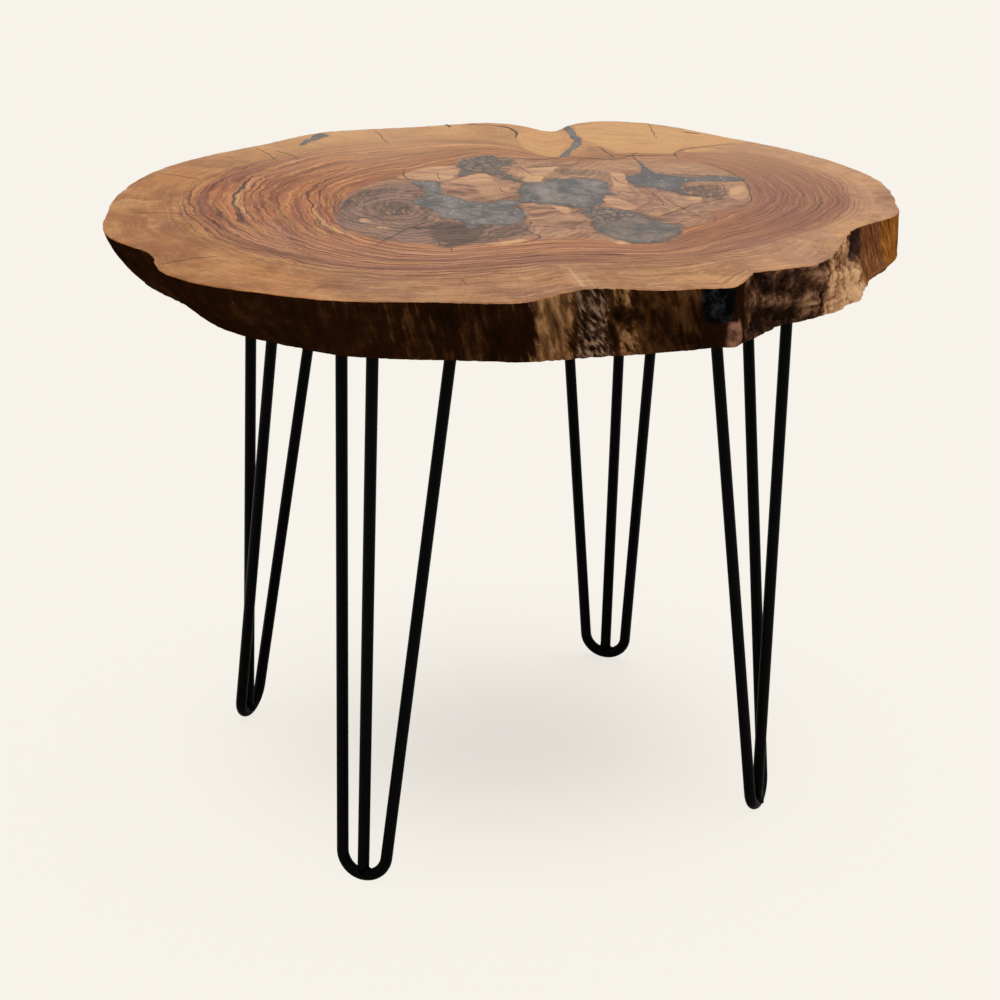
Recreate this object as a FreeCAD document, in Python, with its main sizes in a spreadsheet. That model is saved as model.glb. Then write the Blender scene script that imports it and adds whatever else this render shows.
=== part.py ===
import FreeCAD, Part
import math
import os
from FreeCAD import Placement, Rotation, Vector

# Live-edge coffee table: one slice of a tree trunk with resin-filled voids,
# standing on four three-rod hairpin legs. Millimetres, +Z up, floor at Z = 0,
# the viewer at -Y.

doc = FreeCAD.newDocument("live_edge_coffee_table")

# Driving dimensions

SIZES = {
    "slab_length": 632,
    "slab_width": 532,
    "slab_thickness": 48,
    "resin_depth": 22,
    "leg_height": 457,
    "rod_diameter": 9.5,
    "foot_bend_radius": 19,
    "rod_spread": 92,
    "rod_lean": 51.5,
    "third_rod_lean": 4,
    "plate_thickness": 4,
    "plate_strip_width": 26,
    "plate_strip_length": 89,
    "plate_corner_radius": 6,
    "weld_leg": 3,
    "weld_height": 3.5,
    "foot_weld_radius": 6.8,
    "screw_diameter": 4.8,
    "screw_root_diameter": 3.4,
    "screw_length": 25,
    "screw_tip_length": 6,
    "screw_pitch": 2.1,
    "screw_head_diameter": 9.2,
    "screw_head_height": 3.2,
    "recess_width": 1.3,
    "recess_span": 5,
    "recess_depth": 1.8,
    "plate_hole_clearance": 0.35,
    "pilot_clearance": 0.05,
    "pilot_extra_depth": 2,
}

sheet = doc.addObject("Spreadsheet::Sheet", "Sizes")
for row, (alias, value) in enumerate(SIZES.items(), start=1):
    sheet.set(f"A{row}", alias)
    sheet.set(f"B{row}", str(value))
    sheet.setAlias(f"B{row}", alias)
doc.recompute()


def size(alias):
    """Gives the value of one cell of the sheet."""
    return float(sheet.get(alias))


# Values worked out from the driving dimensions

rod_radius = size("rod_diameter") / 2
plate_underside = size("leg_height") - size("plate_thickness")
slab_top = size("leg_height") + size("slab_thickness")
half_spread = size("rod_spread") / 2
# the plate's arms leave its corner at 45 degrees and pass over the rods' tops
rod_reach = math.hypot(half_spread, size("rod_lean") - size("third_rod_lean"))
# two screws stand evenly between the corner rod and the outer rod of each arm
hole_places = (rod_reach / 3, rod_reach * 2 / 3)

# The plan below is drawn for a slab of the size above, and is stretched with it

# Where each foot stands in plan, and how far the leg is turned about the vertical

FEET = {
    "front_left": (-101.4, -212.6),
    "front_right": (225.1, -68.5),
    "back_right": (102.4, 218.4),
    "back_left": (-220.4, 74.3),
}
TURN_DEGREES = {
    "front_left": -19.9,
    "front_right": 70.1,
    "back_right": 162.7,
    "back_left": -110.5,
}

# The slab's rim, anticlockwise from the left: x and y of the top edge, and how
# far the bottom edge is drawn in towards the middle (a minus sign flares out)

RIM = [
    (-315, -84, 28),
    (-298, -140, 40),
    (-268, -168, 33),
    (-259, -203, 43),
    (-222, -238, 38),
    (-178, -253, 28),
    (-125, -265, 17),
    (-60, -262, 9),
    (15, -253, 1),
    (58, -220, -20),
    (115, -216, -6),
    (145, -209, -2),
    (168, -203, 3),
    (178, -184, -7),
    (186, -167, -11),
    (213, -152, 3),
    (242, -130, 4),
    (262, -75, -10),
    (285, -30, -7),
    (309, -5, 3),
    (315, 40, 6),
    (311, 90, 8),
    (289, 135, 9),
    (240, 188, 8),
    (180, 228, 9),
    (120, 261, 9),
    (75, 263, 9),
    (50, 245, 9),
    (35, 224, 9),
    (8, 240, 9),
    (-45, 240, 8),
    (-90, 222, 7),
    (-170, 191, 5),
    (-210, 152, 4),
    (-265, 98, 8),
    (-299, 40, 15),
    (-314, -22, 21),
]

# Share of the slab's height, and of the undercut, at each section of its edge

EDGE_SECTIONS = ((0.0, 1.0), (0.5, 0.35), (1.0, 0.0))

# Outlines of the resin-filled voids in plan; those at the back run out of the rim

RESIN = {
    "left_heart_resin": [
        (-57, 50), (-57, 18), (-43, 7), (-18, -7), (-4, 0), (3, -16), (14, -34), (6, -60), (-8, -67),
        (-28, -68), (-45, -55), (-58, -45), (-66, -25), (-78, -6), (-68, 16), (-80, 44), (-70, 52),
    ],
    "centre_heart_resin": [
        (9, 14), (5, 28), (11, 55), (31, 69), (50, 73), (63, 77), (80, 65), (81, 40), (86, 30),
        (76, 20), (73, -1), (55, -12), (35, -4), (14, 0),
    ],
    "lower_right_resin": [
        (60, -17), (75, -11), (97, -19), (110, -35), (136, -50), (133, -76), (123, -95), (100, -103),
        (80, -90), (67, -70), (66, -40),
    ],
    "right_branch_resin": [
        (97, 86), (108, 97), (110, 124), (113, 124), (117, 104), (133, 95), (153, 87), (168, 95),
        (184, 94), (195, 88), (186, 82), (172, 80), (144, 76), (140, 54), (128, 47), (111, 56), (97, 67),
    ],
    "upper_left_resin": [
        (-43, 100), (-38, 122), (-20, 135), (-8, 124), (4, 122), (-4, 100), (-2, 80), (6, 66), (0, 62),
        (-14, 77), (-30, 83), (-41, 72),
    ],
    "rear_notch_resin": [
        (40, 240), (48, 213), (53, 195), (50, 178), (46, 160), (42, 143), (48, 140), (52, 160),
        (60, 180), (62, 197), (57, 213), (52, 252),
    ],
    "rear_left_resin": [
        (-188, 168), (-178, 184), (-166, 202), (-156, 194), (-165, 176), (-174, 163), (-182, 153),
    ],
}


def bound(kind, name, **sizes):
    """Adds an object whose sizes follow expressions on the sheet."""
    made = doc.addObject(kind, name)
    for field, formula in sizes.items():
        made.setExpression(field, formula)
    return made


def box(name, length, width, height, corner):
    """Adds a box, bound to the sheet, with its low corner at a point."""
    made = bound("Part::Box", name, Length=length, Width=width, Height=height)
    made.Placement.Base = corner
    return made


def cylinder(name, radius, height, place):
    """Adds a cylinder, bound to the sheet, at a placement."""
    made = bound("Part::Cylinder", name, Radius=radius, Height=height)
    made.Placement = place
    return made


def combined(kind, name, parts):
    """Adds a fusion or a compound of several objects."""
    made = doc.addObject(kind, name)
    if kind == "Part::Compound":
        made.Links = parts
    else:
        made.Shapes = parts
    return made


def cut(name, base, tool):
    """Adds one object less another."""
    made = doc.addObject("Part::Cut", name)
    made.Base = base
    made.Tool = tool
    return made


def drawn(name, shape):
    """Adds a curve or face that the features below are made from."""
    made = doc.addObject("Part::Feature", name)
    made.Shape = shape
    return made


def closed_curve(points):
    """Gives a smooth closed wire through the points."""
    curve = Part.BSplineCurve()
    curve.interpolate(points, PeriodicFlag=True)
    return Part.Wire([curve.toShape()])


# The slab and its resin

drawn_rim = closed_curve([Vector(x, y, 0) for x, y, drawn_in in RIM]).optimalBoundingBox(False, False)


def in_plan(x, y, z):
    """Gives a point of the drawn plan, stretched to the set length and width."""
    across = (x - drawn_rim.Center.x) * size("slab_length") / drawn_rim.XLength
    along = (y - drawn_rim.Center.y) * size("slab_width") / drawn_rim.YLength
    return Vector(across, along, z)


def rim_curve(undercut_share, height):
    """Gives the slab's outline at one height."""
    points = []
    for x, y, drawn_in in RIM:
        flat = in_plan(x, y, 0)
        inner = flat * (1 - undercut_share * drawn_in / flat.Length)
        points.append(inner + Vector(0, 0, height))
    return closed_curve(points)


def make_blank():
    """Lofts the slab's live edge between its sections."""
    sections = []
    for number, (rise, undercut_share) in enumerate(EDGE_SECTIONS):
        height = size("leg_height") + rise * size("slab_thickness")
        curve = rim_curve(undercut_share, height)
        sections.append(drawn(f"edge_section_{number}", curve))
    blank = doc.addObject("Part::Loft", "slab_blank")
    blank.Sections = sections
    blank.Solid = True
    return blank


def make_void(name, outline):
    """Sinks one resin-filled void from the top of the slab."""
    points = [in_plan(x, y, slab_top) for x, y in outline]
    void = bound("Part::Extrusion", f"{name}_void", LengthFwd="Sizes.resin_depth")
    void.Base = drawn(f"{name}_outline", closed_curve(points))
    void.DirMode = "Custom"
    void.Dir = Vector(0, 0, -1)
    void.Solid = True
    return void


def make_resin(name, void, blank):
    """Casts one resin fill, flush with the slab's top and its edge."""
    fill = doc.addObject("Part::Common", name)
    fill.Base = void
    fill.Tool = blank
    return fill


# The legs: drawn with the foot at the origin, the corner of the plate outwards
# along -Y and the U rod leaning inwards along +Y, then placed

def leg_place(leg):
    """Gives the placement of one leg under the slab."""
    return Placement(in_plan(*FEET[leg], 0), Rotation(Vector(0, 0, 1), TURN_DEGREES[leg]))


def hole_points():
    """Gives the plate's screw places, in plan, for a leg at the origin."""
    arm = math.sqrt(0.5)
    corner = size("third_rod_lean")
    return [(side * arm * along, corner + arm * along) for side in (1, -1) for along in hole_places]


def rod_tops():
    """Gives the middle of each rod at the plate's underside."""
    lean = size("rod_lean")
    return [(half_spread, lean), (-half_spread, lean), (0, size("third_rod_lean"))]


def u_rod_path():
    """Gives the U rod's centre line: two shanks tangent to the foot bend."""
    bend = size("foot_bend_radius")
    rise = plate_underside - rod_radius
    slope = math.hypot(size("rod_lean"), rise)
    up = Vector(0, size("rod_lean") / slope, rise / slope)
    foot = Vector(0, 0, rod_radius)

    def at(across, along):
        return foot + Vector(across, 0, 0) + up * along

    reach = math.hypot(half_spread, slope - bend)
    tangent = math.atan2(slope - bend, half_spread) - math.acos(bend / reach)
    start = (bend * math.cos(tangent), bend + bend * math.sin(tangent))
    # the shanks run on past the plate's underside, and are trimmed there
    extra = 1 + size("rod_diameter") / slope
    end = (start[0] + (half_spread - start[0]) * extra, start[1] + (slope - start[1]) * extra)
    right = Part.LineSegment(at(end[0], end[1]), at(start[0], start[1]))
    bottom = Part.Arc(at(start[0], start[1]), at(0, 0), at(-start[0], start[1]))
    left = Part.LineSegment(at(-start[0], start[1]), at(-end[0], end[1]))
    return Part.Wire([right.toShape(), bottom.toShape(), left.toShape()])


def make_u_rod(leg):
    """Sweeps the U rod and trims it at the plate's underside."""
    path = drawn(f"{leg}_u_path", u_rod_path())
    start = path.Shape.Vertexes[0].Point
    along = path.Shape.Edges[0].tangentAt(0)
    profile = bound("Part::Circle", f"{leg}_u_profile", Radius="Sizes.rod_diameter / 2")
    profile.Placement = Placement(start, Rotation(Vector(0, 0, 1), along))
    swept = doc.addObject("Part::Sweep", f"{leg}_u_swept")
    swept.Sections = [profile]
    swept.Spine = (path, ["Edge1", "Edge2", "Edge3"])
    swept.Solid = True
    over = size("rod_spread")
    trim = box(
        f"{leg}_u_trim", "Sizes.rod_spread * 2", "Sizes.rod_spread * 2",
        "Sizes.rod_diameter * 3", Vector(-over, -over, plate_underside),
    )
    return cut(f"{leg}_u_rod", swept, trim), swept


def make_third_rod(leg, u_swept):
    """Copes the third rod onto the foot bend and trims it at the plate."""
    rise = plate_underside - rod_radius
    top = Vector(0, size("third_rod_lean"), rise)
    bar = cylinder(
        f"{leg}_third_bar", "Sizes.rod_diameter / 2", "Sizes.leg_height + Sizes.rod_diameter",
        Placement(Vector(0, 0, rod_radius), Rotation(Vector(0, 0, 1), top)),
    )
    over = size("rod_diameter")
    trim = box(
        f"{leg}_third_trim", "Sizes.rod_diameter * 2", "Sizes.rod_diameter * 2 + Sizes.third_rod_lean",
        "Sizes.rod_diameter * 3", Vector(-over, -over, plate_underside),
    )
    away = combined("Part::Compound", f"{leg}_third_away", [trim, u_swept])
    return cut(f"{leg}_third_rod", bar, away), bar


def make_plate(leg):
    """Cuts the angle plate, its screw holes and its rounded corners."""
    half = size("plate_strip_width") / 2
    low = Vector(-half, -half, 0)
    arms = combined("Part::MultiFuse", f"{leg}_plate_arms", [
        box(f"{leg}_arm_{number}", length, width, "Sizes.plate_thickness", low)
        for number, (length, width) in enumerate((
            ("Sizes.plate_strip_length", "Sizes.plate_strip_width"),
            ("Sizes.plate_strip_width", "Sizes.plate_strip_length"),
        ))
    ])
    arms.Refine = True
    holes = combined("Part::Compound", f"{leg}_plate_holes", [
        cylinder(
            f"{leg}_plate_hole_{number}", "Sizes.screw_diameter / 2 + Sizes.plate_hole_clearance",
            "Sizes.plate_thickness", Placement(Vector(x, y, 0), Rotation()),
        )
        for number, (x, y) in enumerate(
            [(along, 0) for along in hole_places] + [(0, along) for along in hole_places]
        )
    ])
    drilled = cut(f"{leg}_plate_drilled", arms, holes)
    doc.recompute()
    rounded = doc.addObject("Part::Fillet", f"{leg}_mounting_plate")
    rounded.Base = drilled
    radius = size("plate_corner_radius")
    rounded.Edges = [
        (number, radius, radius)
        for number, edge in enumerate(drilled.Shape.Edges, start=1)
        if isinstance(edge.Curve, Part.Line) and abs(edge.tangentAt(0).z) > 0.9
    ]
    # the arms are drawn along X and Y and turned to leave the corner inwards
    rounded.Placement = Placement(
        Vector(0, size("third_rod_lean"), plate_underside), Rotation(Vector(0, 0, 1), 45),
    )
    return rounded


def make_welds(leg, bars):
    """Lays a bead round each rod at the plate and one inside the foot bend."""
    beads = []
    for number, (x, y) in enumerate(rod_tops()):
        collar = bound(
            "Part::Cone", f"{leg}_weld_collar_{number}", Height="Sizes.weld_height",
            Radius1="Sizes.rod_diameter / 2 + Sizes.weld_leg / 8",
            Radius2="Sizes.rod_diameter / 2 + Sizes.weld_leg",
        )
        collar.Placement.Base = Vector(x, y, plate_underside - size("weld_height"))
        beads.append(collar)
    foot = bound("Part::Sphere", f"{leg}_foot_bead", Radius="Sizes.foot_weld_radius")
    foot.Placement.Base = Vector(0, 0, size("rod_diameter") + size("weld_leg") / 4)
    beads.append(foot)
    blanks = combined("Part::Compound", f"{leg}_weld_blanks", beads)
    away = combined("Part::MultiFuse", f"{leg}_weld_away", bars)
    return cut(f"{leg}_welds", blanks, away)


def screw_profile():
    """Gives half of a pan-head wood screw, on the XZ plane, head below."""
    head = size("screw_head_diameter") / 2
    height = size("screw_head_height")
    shank = size("screw_diameter") / 2
    root = size("screw_root_diameter") / 2
    pitch = size("screw_pitch")
    length = size("screw_length")
    thread_end = length - size("screw_tip_length")
    plain = size("plate_thickness")
    points = [(0, -height), (head * 0.6, -height), (head * 0.92, -height * 0.7)]
    points += [(head, -height * 0.35), (head, 0), (shank, 0), (shank, plain)]
    turns = int((thread_end - plain) / pitch)
    for turn in range(turns):
        low = plain + turn * pitch
        points += [(root, low + pitch * 0.25), (root, low + pitch * 0.6), (shank, low + pitch)]
    points += [(root, thread_end + pitch * 0.25), (0, length), (0, -height)]
    return Part.Face(Part.makePolygon([Vector(x, 0, z) for x, z in points]))


def make_screw(leg, number, x, y):
    """Turns one screw, cuts its cross recess and stands it at its hole."""
    profile = drawn(f"{leg}_screw_profile_{number}", screw_profile())
    body = doc.addObject("Part::Revolution", f"{leg}_screw_turned_{number}")
    body.Source = profile
    body.Axis = Vector(0, 0, 1)
    body.Base = Vector(0, 0, 0)
    body.Angle = 360
    body.Solid = True
    span = size("recess_span")
    width = size("recess_width")
    low = -size("screw_head_height")
    recess = combined("Part::MultiFuse", f"{leg}_screw_recess_{number}", [
        box(
            f"{leg}_recess_a_{number}", "Sizes.recess_span", "Sizes.recess_width",
            "Sizes.recess_depth", Vector(-span / 2, -width / 2, low),
        ),
        box(
            f"{leg}_recess_b_{number}", "Sizes.recess_width", "Sizes.recess_span",
            "Sizes.recess_depth", Vector(-width / 2, -span / 2, low),
        ),
    ])
    screw = cut(f"{leg}_screw_{number}", body, recess)
    screw.Placement.Base = Vector(x, y, plate_underside)
    return screw


def make_leg(leg):
    """Builds one leg's pieces at the origin and moves them to its place."""
    u_rod, u_swept = make_u_rod(leg)
    third_rod, third_bar = make_third_rod(leg, u_swept)
    welds = make_welds(leg, [u_swept, third_bar])
    screws = combined("Part::Compound", f"{leg}_screws", [
        make_screw(leg, number, x, y) for number, (x, y) in enumerate(hole_points())
    ])
    pieces = [make_plate(leg), u_rod, third_rod, welds, screws]
    for piece in pieces:
        piece.Placement = leg_place(leg).multiply(piece.Placement)
    return pieces


def make_pilot_holes():
    """Bores a pilot hole in the slab over every screw."""
    holes = []
    for leg in FEET:
        for number, (x, y) in enumerate(hole_points()):
            at = leg_place(leg).multVec(Vector(x, y, size("leg_height")))
            holes.append(cylinder(
                f"{leg}_pilot_{number}", "Sizes.screw_diameter / 2 + Sizes.pilot_clearance",
                "Sizes.screw_length - Sizes.plate_thickness + Sizes.pilot_extra_depth",
                Placement(at, Rotation()),
            ))
    return holes


blank = make_blank()
voids = {name: make_void(name, outline) for name, outline in RESIN.items()}
hollows = combined("Part::Compound", "slab_hollows", list(voids.values()) + make_pilot_holes())

sub_parts = [cut("live_edge_slab", blank, hollows)]
sub_parts += [make_resin(name, void, blank) for name, void in voids.items()]
for leg in FEET:
    sub_parts += make_leg(leg)
doc.recompute()

# Checks before anything is written

for item in doc.Objects:
    if "Invalid" in item.State or "Error" in item.State:
        raise RuntimeError(f"{item.Label} did not rebuild: {item.State}")
for piece in sub_parts:
    if piece.Shape.isNull() or not piece.Shape.isValid():
        raise RuntimeError(f"{piece.Label} has no valid shape")

os.makedirs("parts", exist_ok=True)
for piece in sub_parts:
    piece.Shape.exportStep(f"parts/{piece.Label}.step")
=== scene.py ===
"""Live-edge coffee table: a slice of trunk with resin-filled voids on four hairpin legs.

The frame is in metres, +Z up, with the floor at Z = 0 and the viewer at -Y. Plan sizes are
written in millimetres, as the table was measured, and turned into metres by MM.
"""
import logging
import math
from dataclasses import dataclass, field
from enum import Enum
from typing import Any, Mapping, Sequence

import bpy
import numpy as np
from mathutils import Matrix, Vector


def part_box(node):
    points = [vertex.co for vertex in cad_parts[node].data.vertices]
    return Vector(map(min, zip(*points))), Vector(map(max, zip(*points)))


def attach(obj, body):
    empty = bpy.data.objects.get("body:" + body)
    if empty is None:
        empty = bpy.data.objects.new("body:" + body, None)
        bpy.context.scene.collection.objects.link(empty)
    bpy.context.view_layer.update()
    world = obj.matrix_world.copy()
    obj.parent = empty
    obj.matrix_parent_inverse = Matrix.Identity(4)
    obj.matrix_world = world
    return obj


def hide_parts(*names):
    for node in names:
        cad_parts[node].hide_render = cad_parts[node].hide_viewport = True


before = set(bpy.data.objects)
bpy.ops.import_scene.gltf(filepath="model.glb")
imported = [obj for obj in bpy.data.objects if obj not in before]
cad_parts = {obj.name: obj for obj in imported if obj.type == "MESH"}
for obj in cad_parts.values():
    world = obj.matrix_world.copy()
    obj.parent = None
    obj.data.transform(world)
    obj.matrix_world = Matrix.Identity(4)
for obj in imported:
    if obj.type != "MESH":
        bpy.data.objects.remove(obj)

logging.basicConfig(level=logging.INFO, format="%(message)s")
log = logging.getLogger("coffee_table")

MM = 0.001
Array = np.ndarray
Colour = tuple[float, float, float]
Points = Sequence[tuple[float, float]]


def srgb(red: float, green: float, blue: float) -> Colour:
    """Gives the linear colour of an 8-bit screen colour.

    Args:
        red, green, blue: channels from 0 to 255.

    Returns:
        The three linear channels.
    """
    def linear(channel: float) -> float:
        part = channel / 255
        return part / 12.92 if part <= 0.04045 else ((part + 0.055) / 1.055) ** 2.4
    return linear(red), linear(green), linear(blue)


# Curves and fields in plan


class ValueNoise:
    """Random values on a lattice that repeats, joined smoothly between its points."""

    def __init__(self, seed: int, columns: int = 64, rows: int = 64) -> None:
        """Fills the lattice from a seed."""
        self.table = np.random.default_rng(seed).uniform(-1, 1, (columns, rows))

    def __call__(self, across: Array, along: Array) -> Array:
        """Gives the noise at each pair of lattice coordinates.

        Each value is a blend of the four lattice values round it, weighted by the quintic
        ease 6f^5 - 15f^4 + 10f^3 of the fraction f along each way.

        Args:
            across, along: arrays of the same shape; one lattice cell is one unit.

        Returns:
            Values from -1 to 1, in the arrays' shape.
        """
        columns, rows = self.table.shape
        low_a, low_b = np.floor(across).astype(int), np.floor(along).astype(int)
        part_a, part_b = across - low_a, along - low_b
        ease_a = part_a ** 3 * (part_a * (part_a * 6 - 15) + 10)
        ease_b = part_b ** 3 * (part_b * (part_b * 6 - 15) + 10)
        i, i_next = low_a % columns, (low_a + 1) % columns
        j, j_next = low_b % rows, (low_b + 1) % rows
        near = self.table[i, j] * (1 - ease_a) + self.table[i_next, j] * ease_a
        far = self.table[i, j_next] * (1 - ease_a) + self.table[i_next, j_next] * ease_a
        return near * (1 - ease_b) + far * ease_b


def smooth(low: float, high: float, values: Array) -> Array:
    """Gives 0 below low, 1 above high, and 3t^2 - 2t^3 between them."""
    part = np.clip((values - low) / (high - low), 0, 1)
    return part * part * (3 - 2 * part)


def between(values: Array, start: float, end: float, start_blur: float, end_blur: float) -> Array:
    """Gives 1 from start to end and 0 outside, with a smooth step as wide as each blur on either side."""
    risen = smooth(start - start_blur, start + start_blur, values)
    return risen * smooth(end + end_blur, end - end_blur, values)


def closed_spline(points: Array, count: int = 4096) -> Array:
    """Gives the periodic cubic through the points, spaced by chord length.

    The second derivatives M solve h0 M0 + 2 (h0 + h1) M1 + h1 M2 = 6 (slope1 - slope0) all the
    way round, and each span is the cubic that they give.

    Args:
        points: one row per point.
        count: how many places to give.

    Returns:
        The places, one row each.
    """
    after = np.roll(points, -1, axis=0)
    span = np.linalg.norm(after - points, axis=1)
    slope = (after - points) / span[:, None]
    number = len(points)
    matrix = np.zeros((number, number))
    row = np.arange(number)
    before = np.roll(span, 1)
    matrix[row, row] = 2 * (before + span)
    matrix[row, (row - 1) % number] += before
    matrix[row, (row + 1) % number] += span
    bend = np.linalg.solve(matrix, 6 * (slope - np.roll(slope, 1, axis=0)))
    start = np.concatenate([[0], np.cumsum(span)])
    along = np.linspace(0, start[-1], count, endpoint=False)
    piece = np.clip(np.searchsorted(start, along, side="right") - 1, 0, number - 1)
    gone = (along - start[piece])[:, None]
    width = span[piece][:, None]
    left = width - gone
    bend_a, bend_b = bend[piece], np.roll(bend, -1, axis=0)[piece]
    line = (points[piece] * left + after[piece] * gone) / width
    lift = bend_a * (left ** 3 / width - width * left) + bend_b * (gone ** 3 / width - width * gone)
    return line + lift / 6


@dataclass
class PolarCurve:
    """A closed curve round the slab's middle, as a radius for each bearing."""

    bearing: Array
    radius: Array

    @classmethod
    def through(cls, points: Array) -> "PolarCurve":
        """Gives the smooth closed curve through points in plan."""
        dense = closed_spline(points)
        return cls(np.arctan2(dense[:, 1], dense[:, 0]), np.hypot(dense[:, 0], dense[:, 1]))

    @classmethod
    def of_bearings(cls, pairs: Points) -> "PolarCurve":
        """Gives the smooth closed curve through pairs of degrees and radius."""
        degrees, radius = np.array(pairs, float).T
        turn = np.radians(degrees)
        return cls.through(np.stack([radius * np.cos(turn), radius * np.sin(turn)], axis=1))

    def __call__(self, bearing: Array) -> Array:
        """Gives the radius at each bearing, in radians."""
        order = np.argsort(self.bearing)
        return np.interp(bearing, self.bearing[order], self.radius[order], period=2 * math.pi)


def outline_distance(x: Array, y: Array, outline: Points) -> Array:
    """Gives the distance to a closed outline, minus inside it.

    The distance is the least over the outline's straight runs, and a point is inside where the
    runs cross a line from it an odd number of times.

    Args:
        x, y: arrays of places.
        outline: the outline's corners.

    Returns:
        The signed distances, in the arrays' shape.
    """
    corner = np.array(outline, float)
    after = np.roll(corner, -1, axis=0)
    run = after - corner
    to_x, to_y = x[..., None] - corner[:, 0], y[..., None] - corner[:, 1]
    share = np.clip((to_x * run[:, 0] + to_y * run[:, 1]) / (run ** 2).sum(axis=1), 0, 1)
    away = np.hypot(to_x - share * run[:, 0], to_y - share * run[:, 1]).min(axis=-1)
    spans = (corner[:, 1] > y[..., None]) != (after[:, 1] > y[..., None])
    rise = np.where(run[:, 1] == 0, 1e-9, run[:, 1])
    crossed = spans & (to_x < to_y * run[:, 0] / rise)
    return np.where(crossed.sum(axis=-1) % 2 == 1, -away, away)


def path_points(points: Points, count: int) -> Array:
    """Gives places spaced evenly along a smooth open line through points.

    Each run is a Catmull-Rom cubic, whose end slopes are half the step between its neighbours.
    """
    knot = np.array(points, float)
    padded = np.concatenate([[2 * knot[0] - knot[1]], knot, [2 * knot[-1] - knot[-2]]])
    at = np.linspace(0, len(knot) - 1, count)
    index = np.minimum(at.astype(int), len(knot) - 2)
    part = (at - index)[:, None]
    a, b, c, d = (padded[index + shift] for shift in range(4))
    return b + 0.5 * part * (c - a + part * (2 * a - 5 * b + 4 * c - d + part * (3 * (b - c) + d - a)))


# Meshes


def add_mesh(
    name: str, points: Array, quads: Array, materials: Sequence[bpy.types.Material],
    face_slots: Array | None = None, attributes: Mapping[str, Array] | None = None,
) -> bpy.types.Object:
    """Makes a smooth-shaded mesh object at the origin.

    Args:
        name: the object's name.
        points: corners in metres, one row each.
        quads: corner numbers, four a row; a row whose last two are equal is a triangle.
        materials: the slots' materials.
        face_slots: the slot of each face, all 0 if not given.
        attributes: named values, one for each corner.

    Returns:
        The object, linked to the scene.
    """
    faces = [tuple(row[:3]) if row[2] == row[3] else tuple(row) for row in quads.tolist()]
    mesh = bpy.data.meshes.new(name)
    mesh.from_pydata(points.tolist(), [], faces)
    for material in materials:
        mesh.materials.append(material)
    if face_slots is not None:
        mesh.polygons.foreach_set("material_index", face_slots.astype(np.int32))
    mesh.polygons.foreach_set("use_smooth", np.ones(len(faces), bool))
    for label, values in (attributes or {}).items():
        layer = mesh.attributes.new(label, "FLOAT", "POINT")
        layer.data.foreach_set("value", values.astype(np.float32))
    mesh.update()
    made = bpy.data.objects.new(name, mesh)
    bpy.context.scene.collection.objects.link(made)
    return made


def grid_quads(rows: int, columns: int, wrap_rows: bool = False, wrap_columns: bool = False) -> Array:
    """Gives the faces of a grid of corners numbered row by row.

    Args:
        rows, columns: how many corners each way.
        wrap_rows, wrap_columns: whether the last joins the first.

    Returns:
        Corner numbers, four a face.
    """
    row = np.arange(rows if wrap_rows else rows - 1)
    column = np.arange(columns if wrap_columns else columns - 1)
    i, j = (part.ravel() for part in np.meshgrid(row, column, indexing="ij"))
    here, above = i * columns, (i + 1) % rows * columns
    j_next = (j + 1) % columns
    return np.stack([here + j, here + j_next, above + j_next, above + j], axis=1)


def tube(path: Array, radius: float, sides: int = 28) -> tuple[Array, Array]:
    """Carries a circle along a path in one plane, closed at both ends.

    The circle at each place lies across the path: place + radius (cos u * side + sin u * normal),
    where normal is the plane's and side is across both.

    Args:
        path: places along the tube, one row each.
        radius: the circle's radius.
        sides: corners round the circle.

    Returns:
        Corners and faces.
    """
    along = np.gradient(path, axis=0)
    along /= np.linalg.norm(along, axis=1)[:, None]
    spread = path - path.mean(axis=0)
    normal = np.linalg.svd(spread, full_matrices=True)[2][2]
    side = np.cross(along, normal)
    side /= np.linalg.norm(side, axis=1)[:, None]
    turn = np.linspace(0, 2 * math.pi, sides, endpoint=False)[:, None]
    ring = path[:, None, :] + radius * (np.cos(turn) * side[:, None, :] + np.sin(turn) * normal)
    count = len(path)
    points = np.concatenate([ring.reshape(-1, 3), path[:1], path[-1:]])
    wall = grid_quads(count, sides, wrap_columns=True)
    edge = np.arange(sides)
    after = (edge + 1) % sides
    last = (count - 1) * sides
    first_hub, last_hub = np.full(sides, count * sides), np.full(sides, count * sides + 1)
    start = np.stack([edge, first_hub, after, after], axis=1)
    end = np.stack([last + edge, last + after, last_hub, last_hub], axis=1)
    faces = np.concatenate([wall, start, end])
    return points, outward(points, faces)


def outward(points: Array, faces: Array) -> Array:
    """Turns all faces of a closed shell round if its signed volume is below 0.

    The volume is the sum of a . (b x c) / 6 over the faces' triangles.
    """
    a, b, c, d = (points[faces[:, corner]] for corner in range(4))
    volume = (a * np.cross(b, c)).sum() + (a * np.cross(c, d)).sum()
    return faces if volume > 0 else flip(faces)


def flip(faces: Array) -> Array:
    """Turns faces round, keeping a triangle's repeated corner last."""
    triangle = (faces[:, 2] == faces[:, 3])[:, None]
    return np.where(triangle, faces[:, [0, 2, 1, 1]], faces[:, [0, 3, 2, 1]])


# Shader graphs


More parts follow.
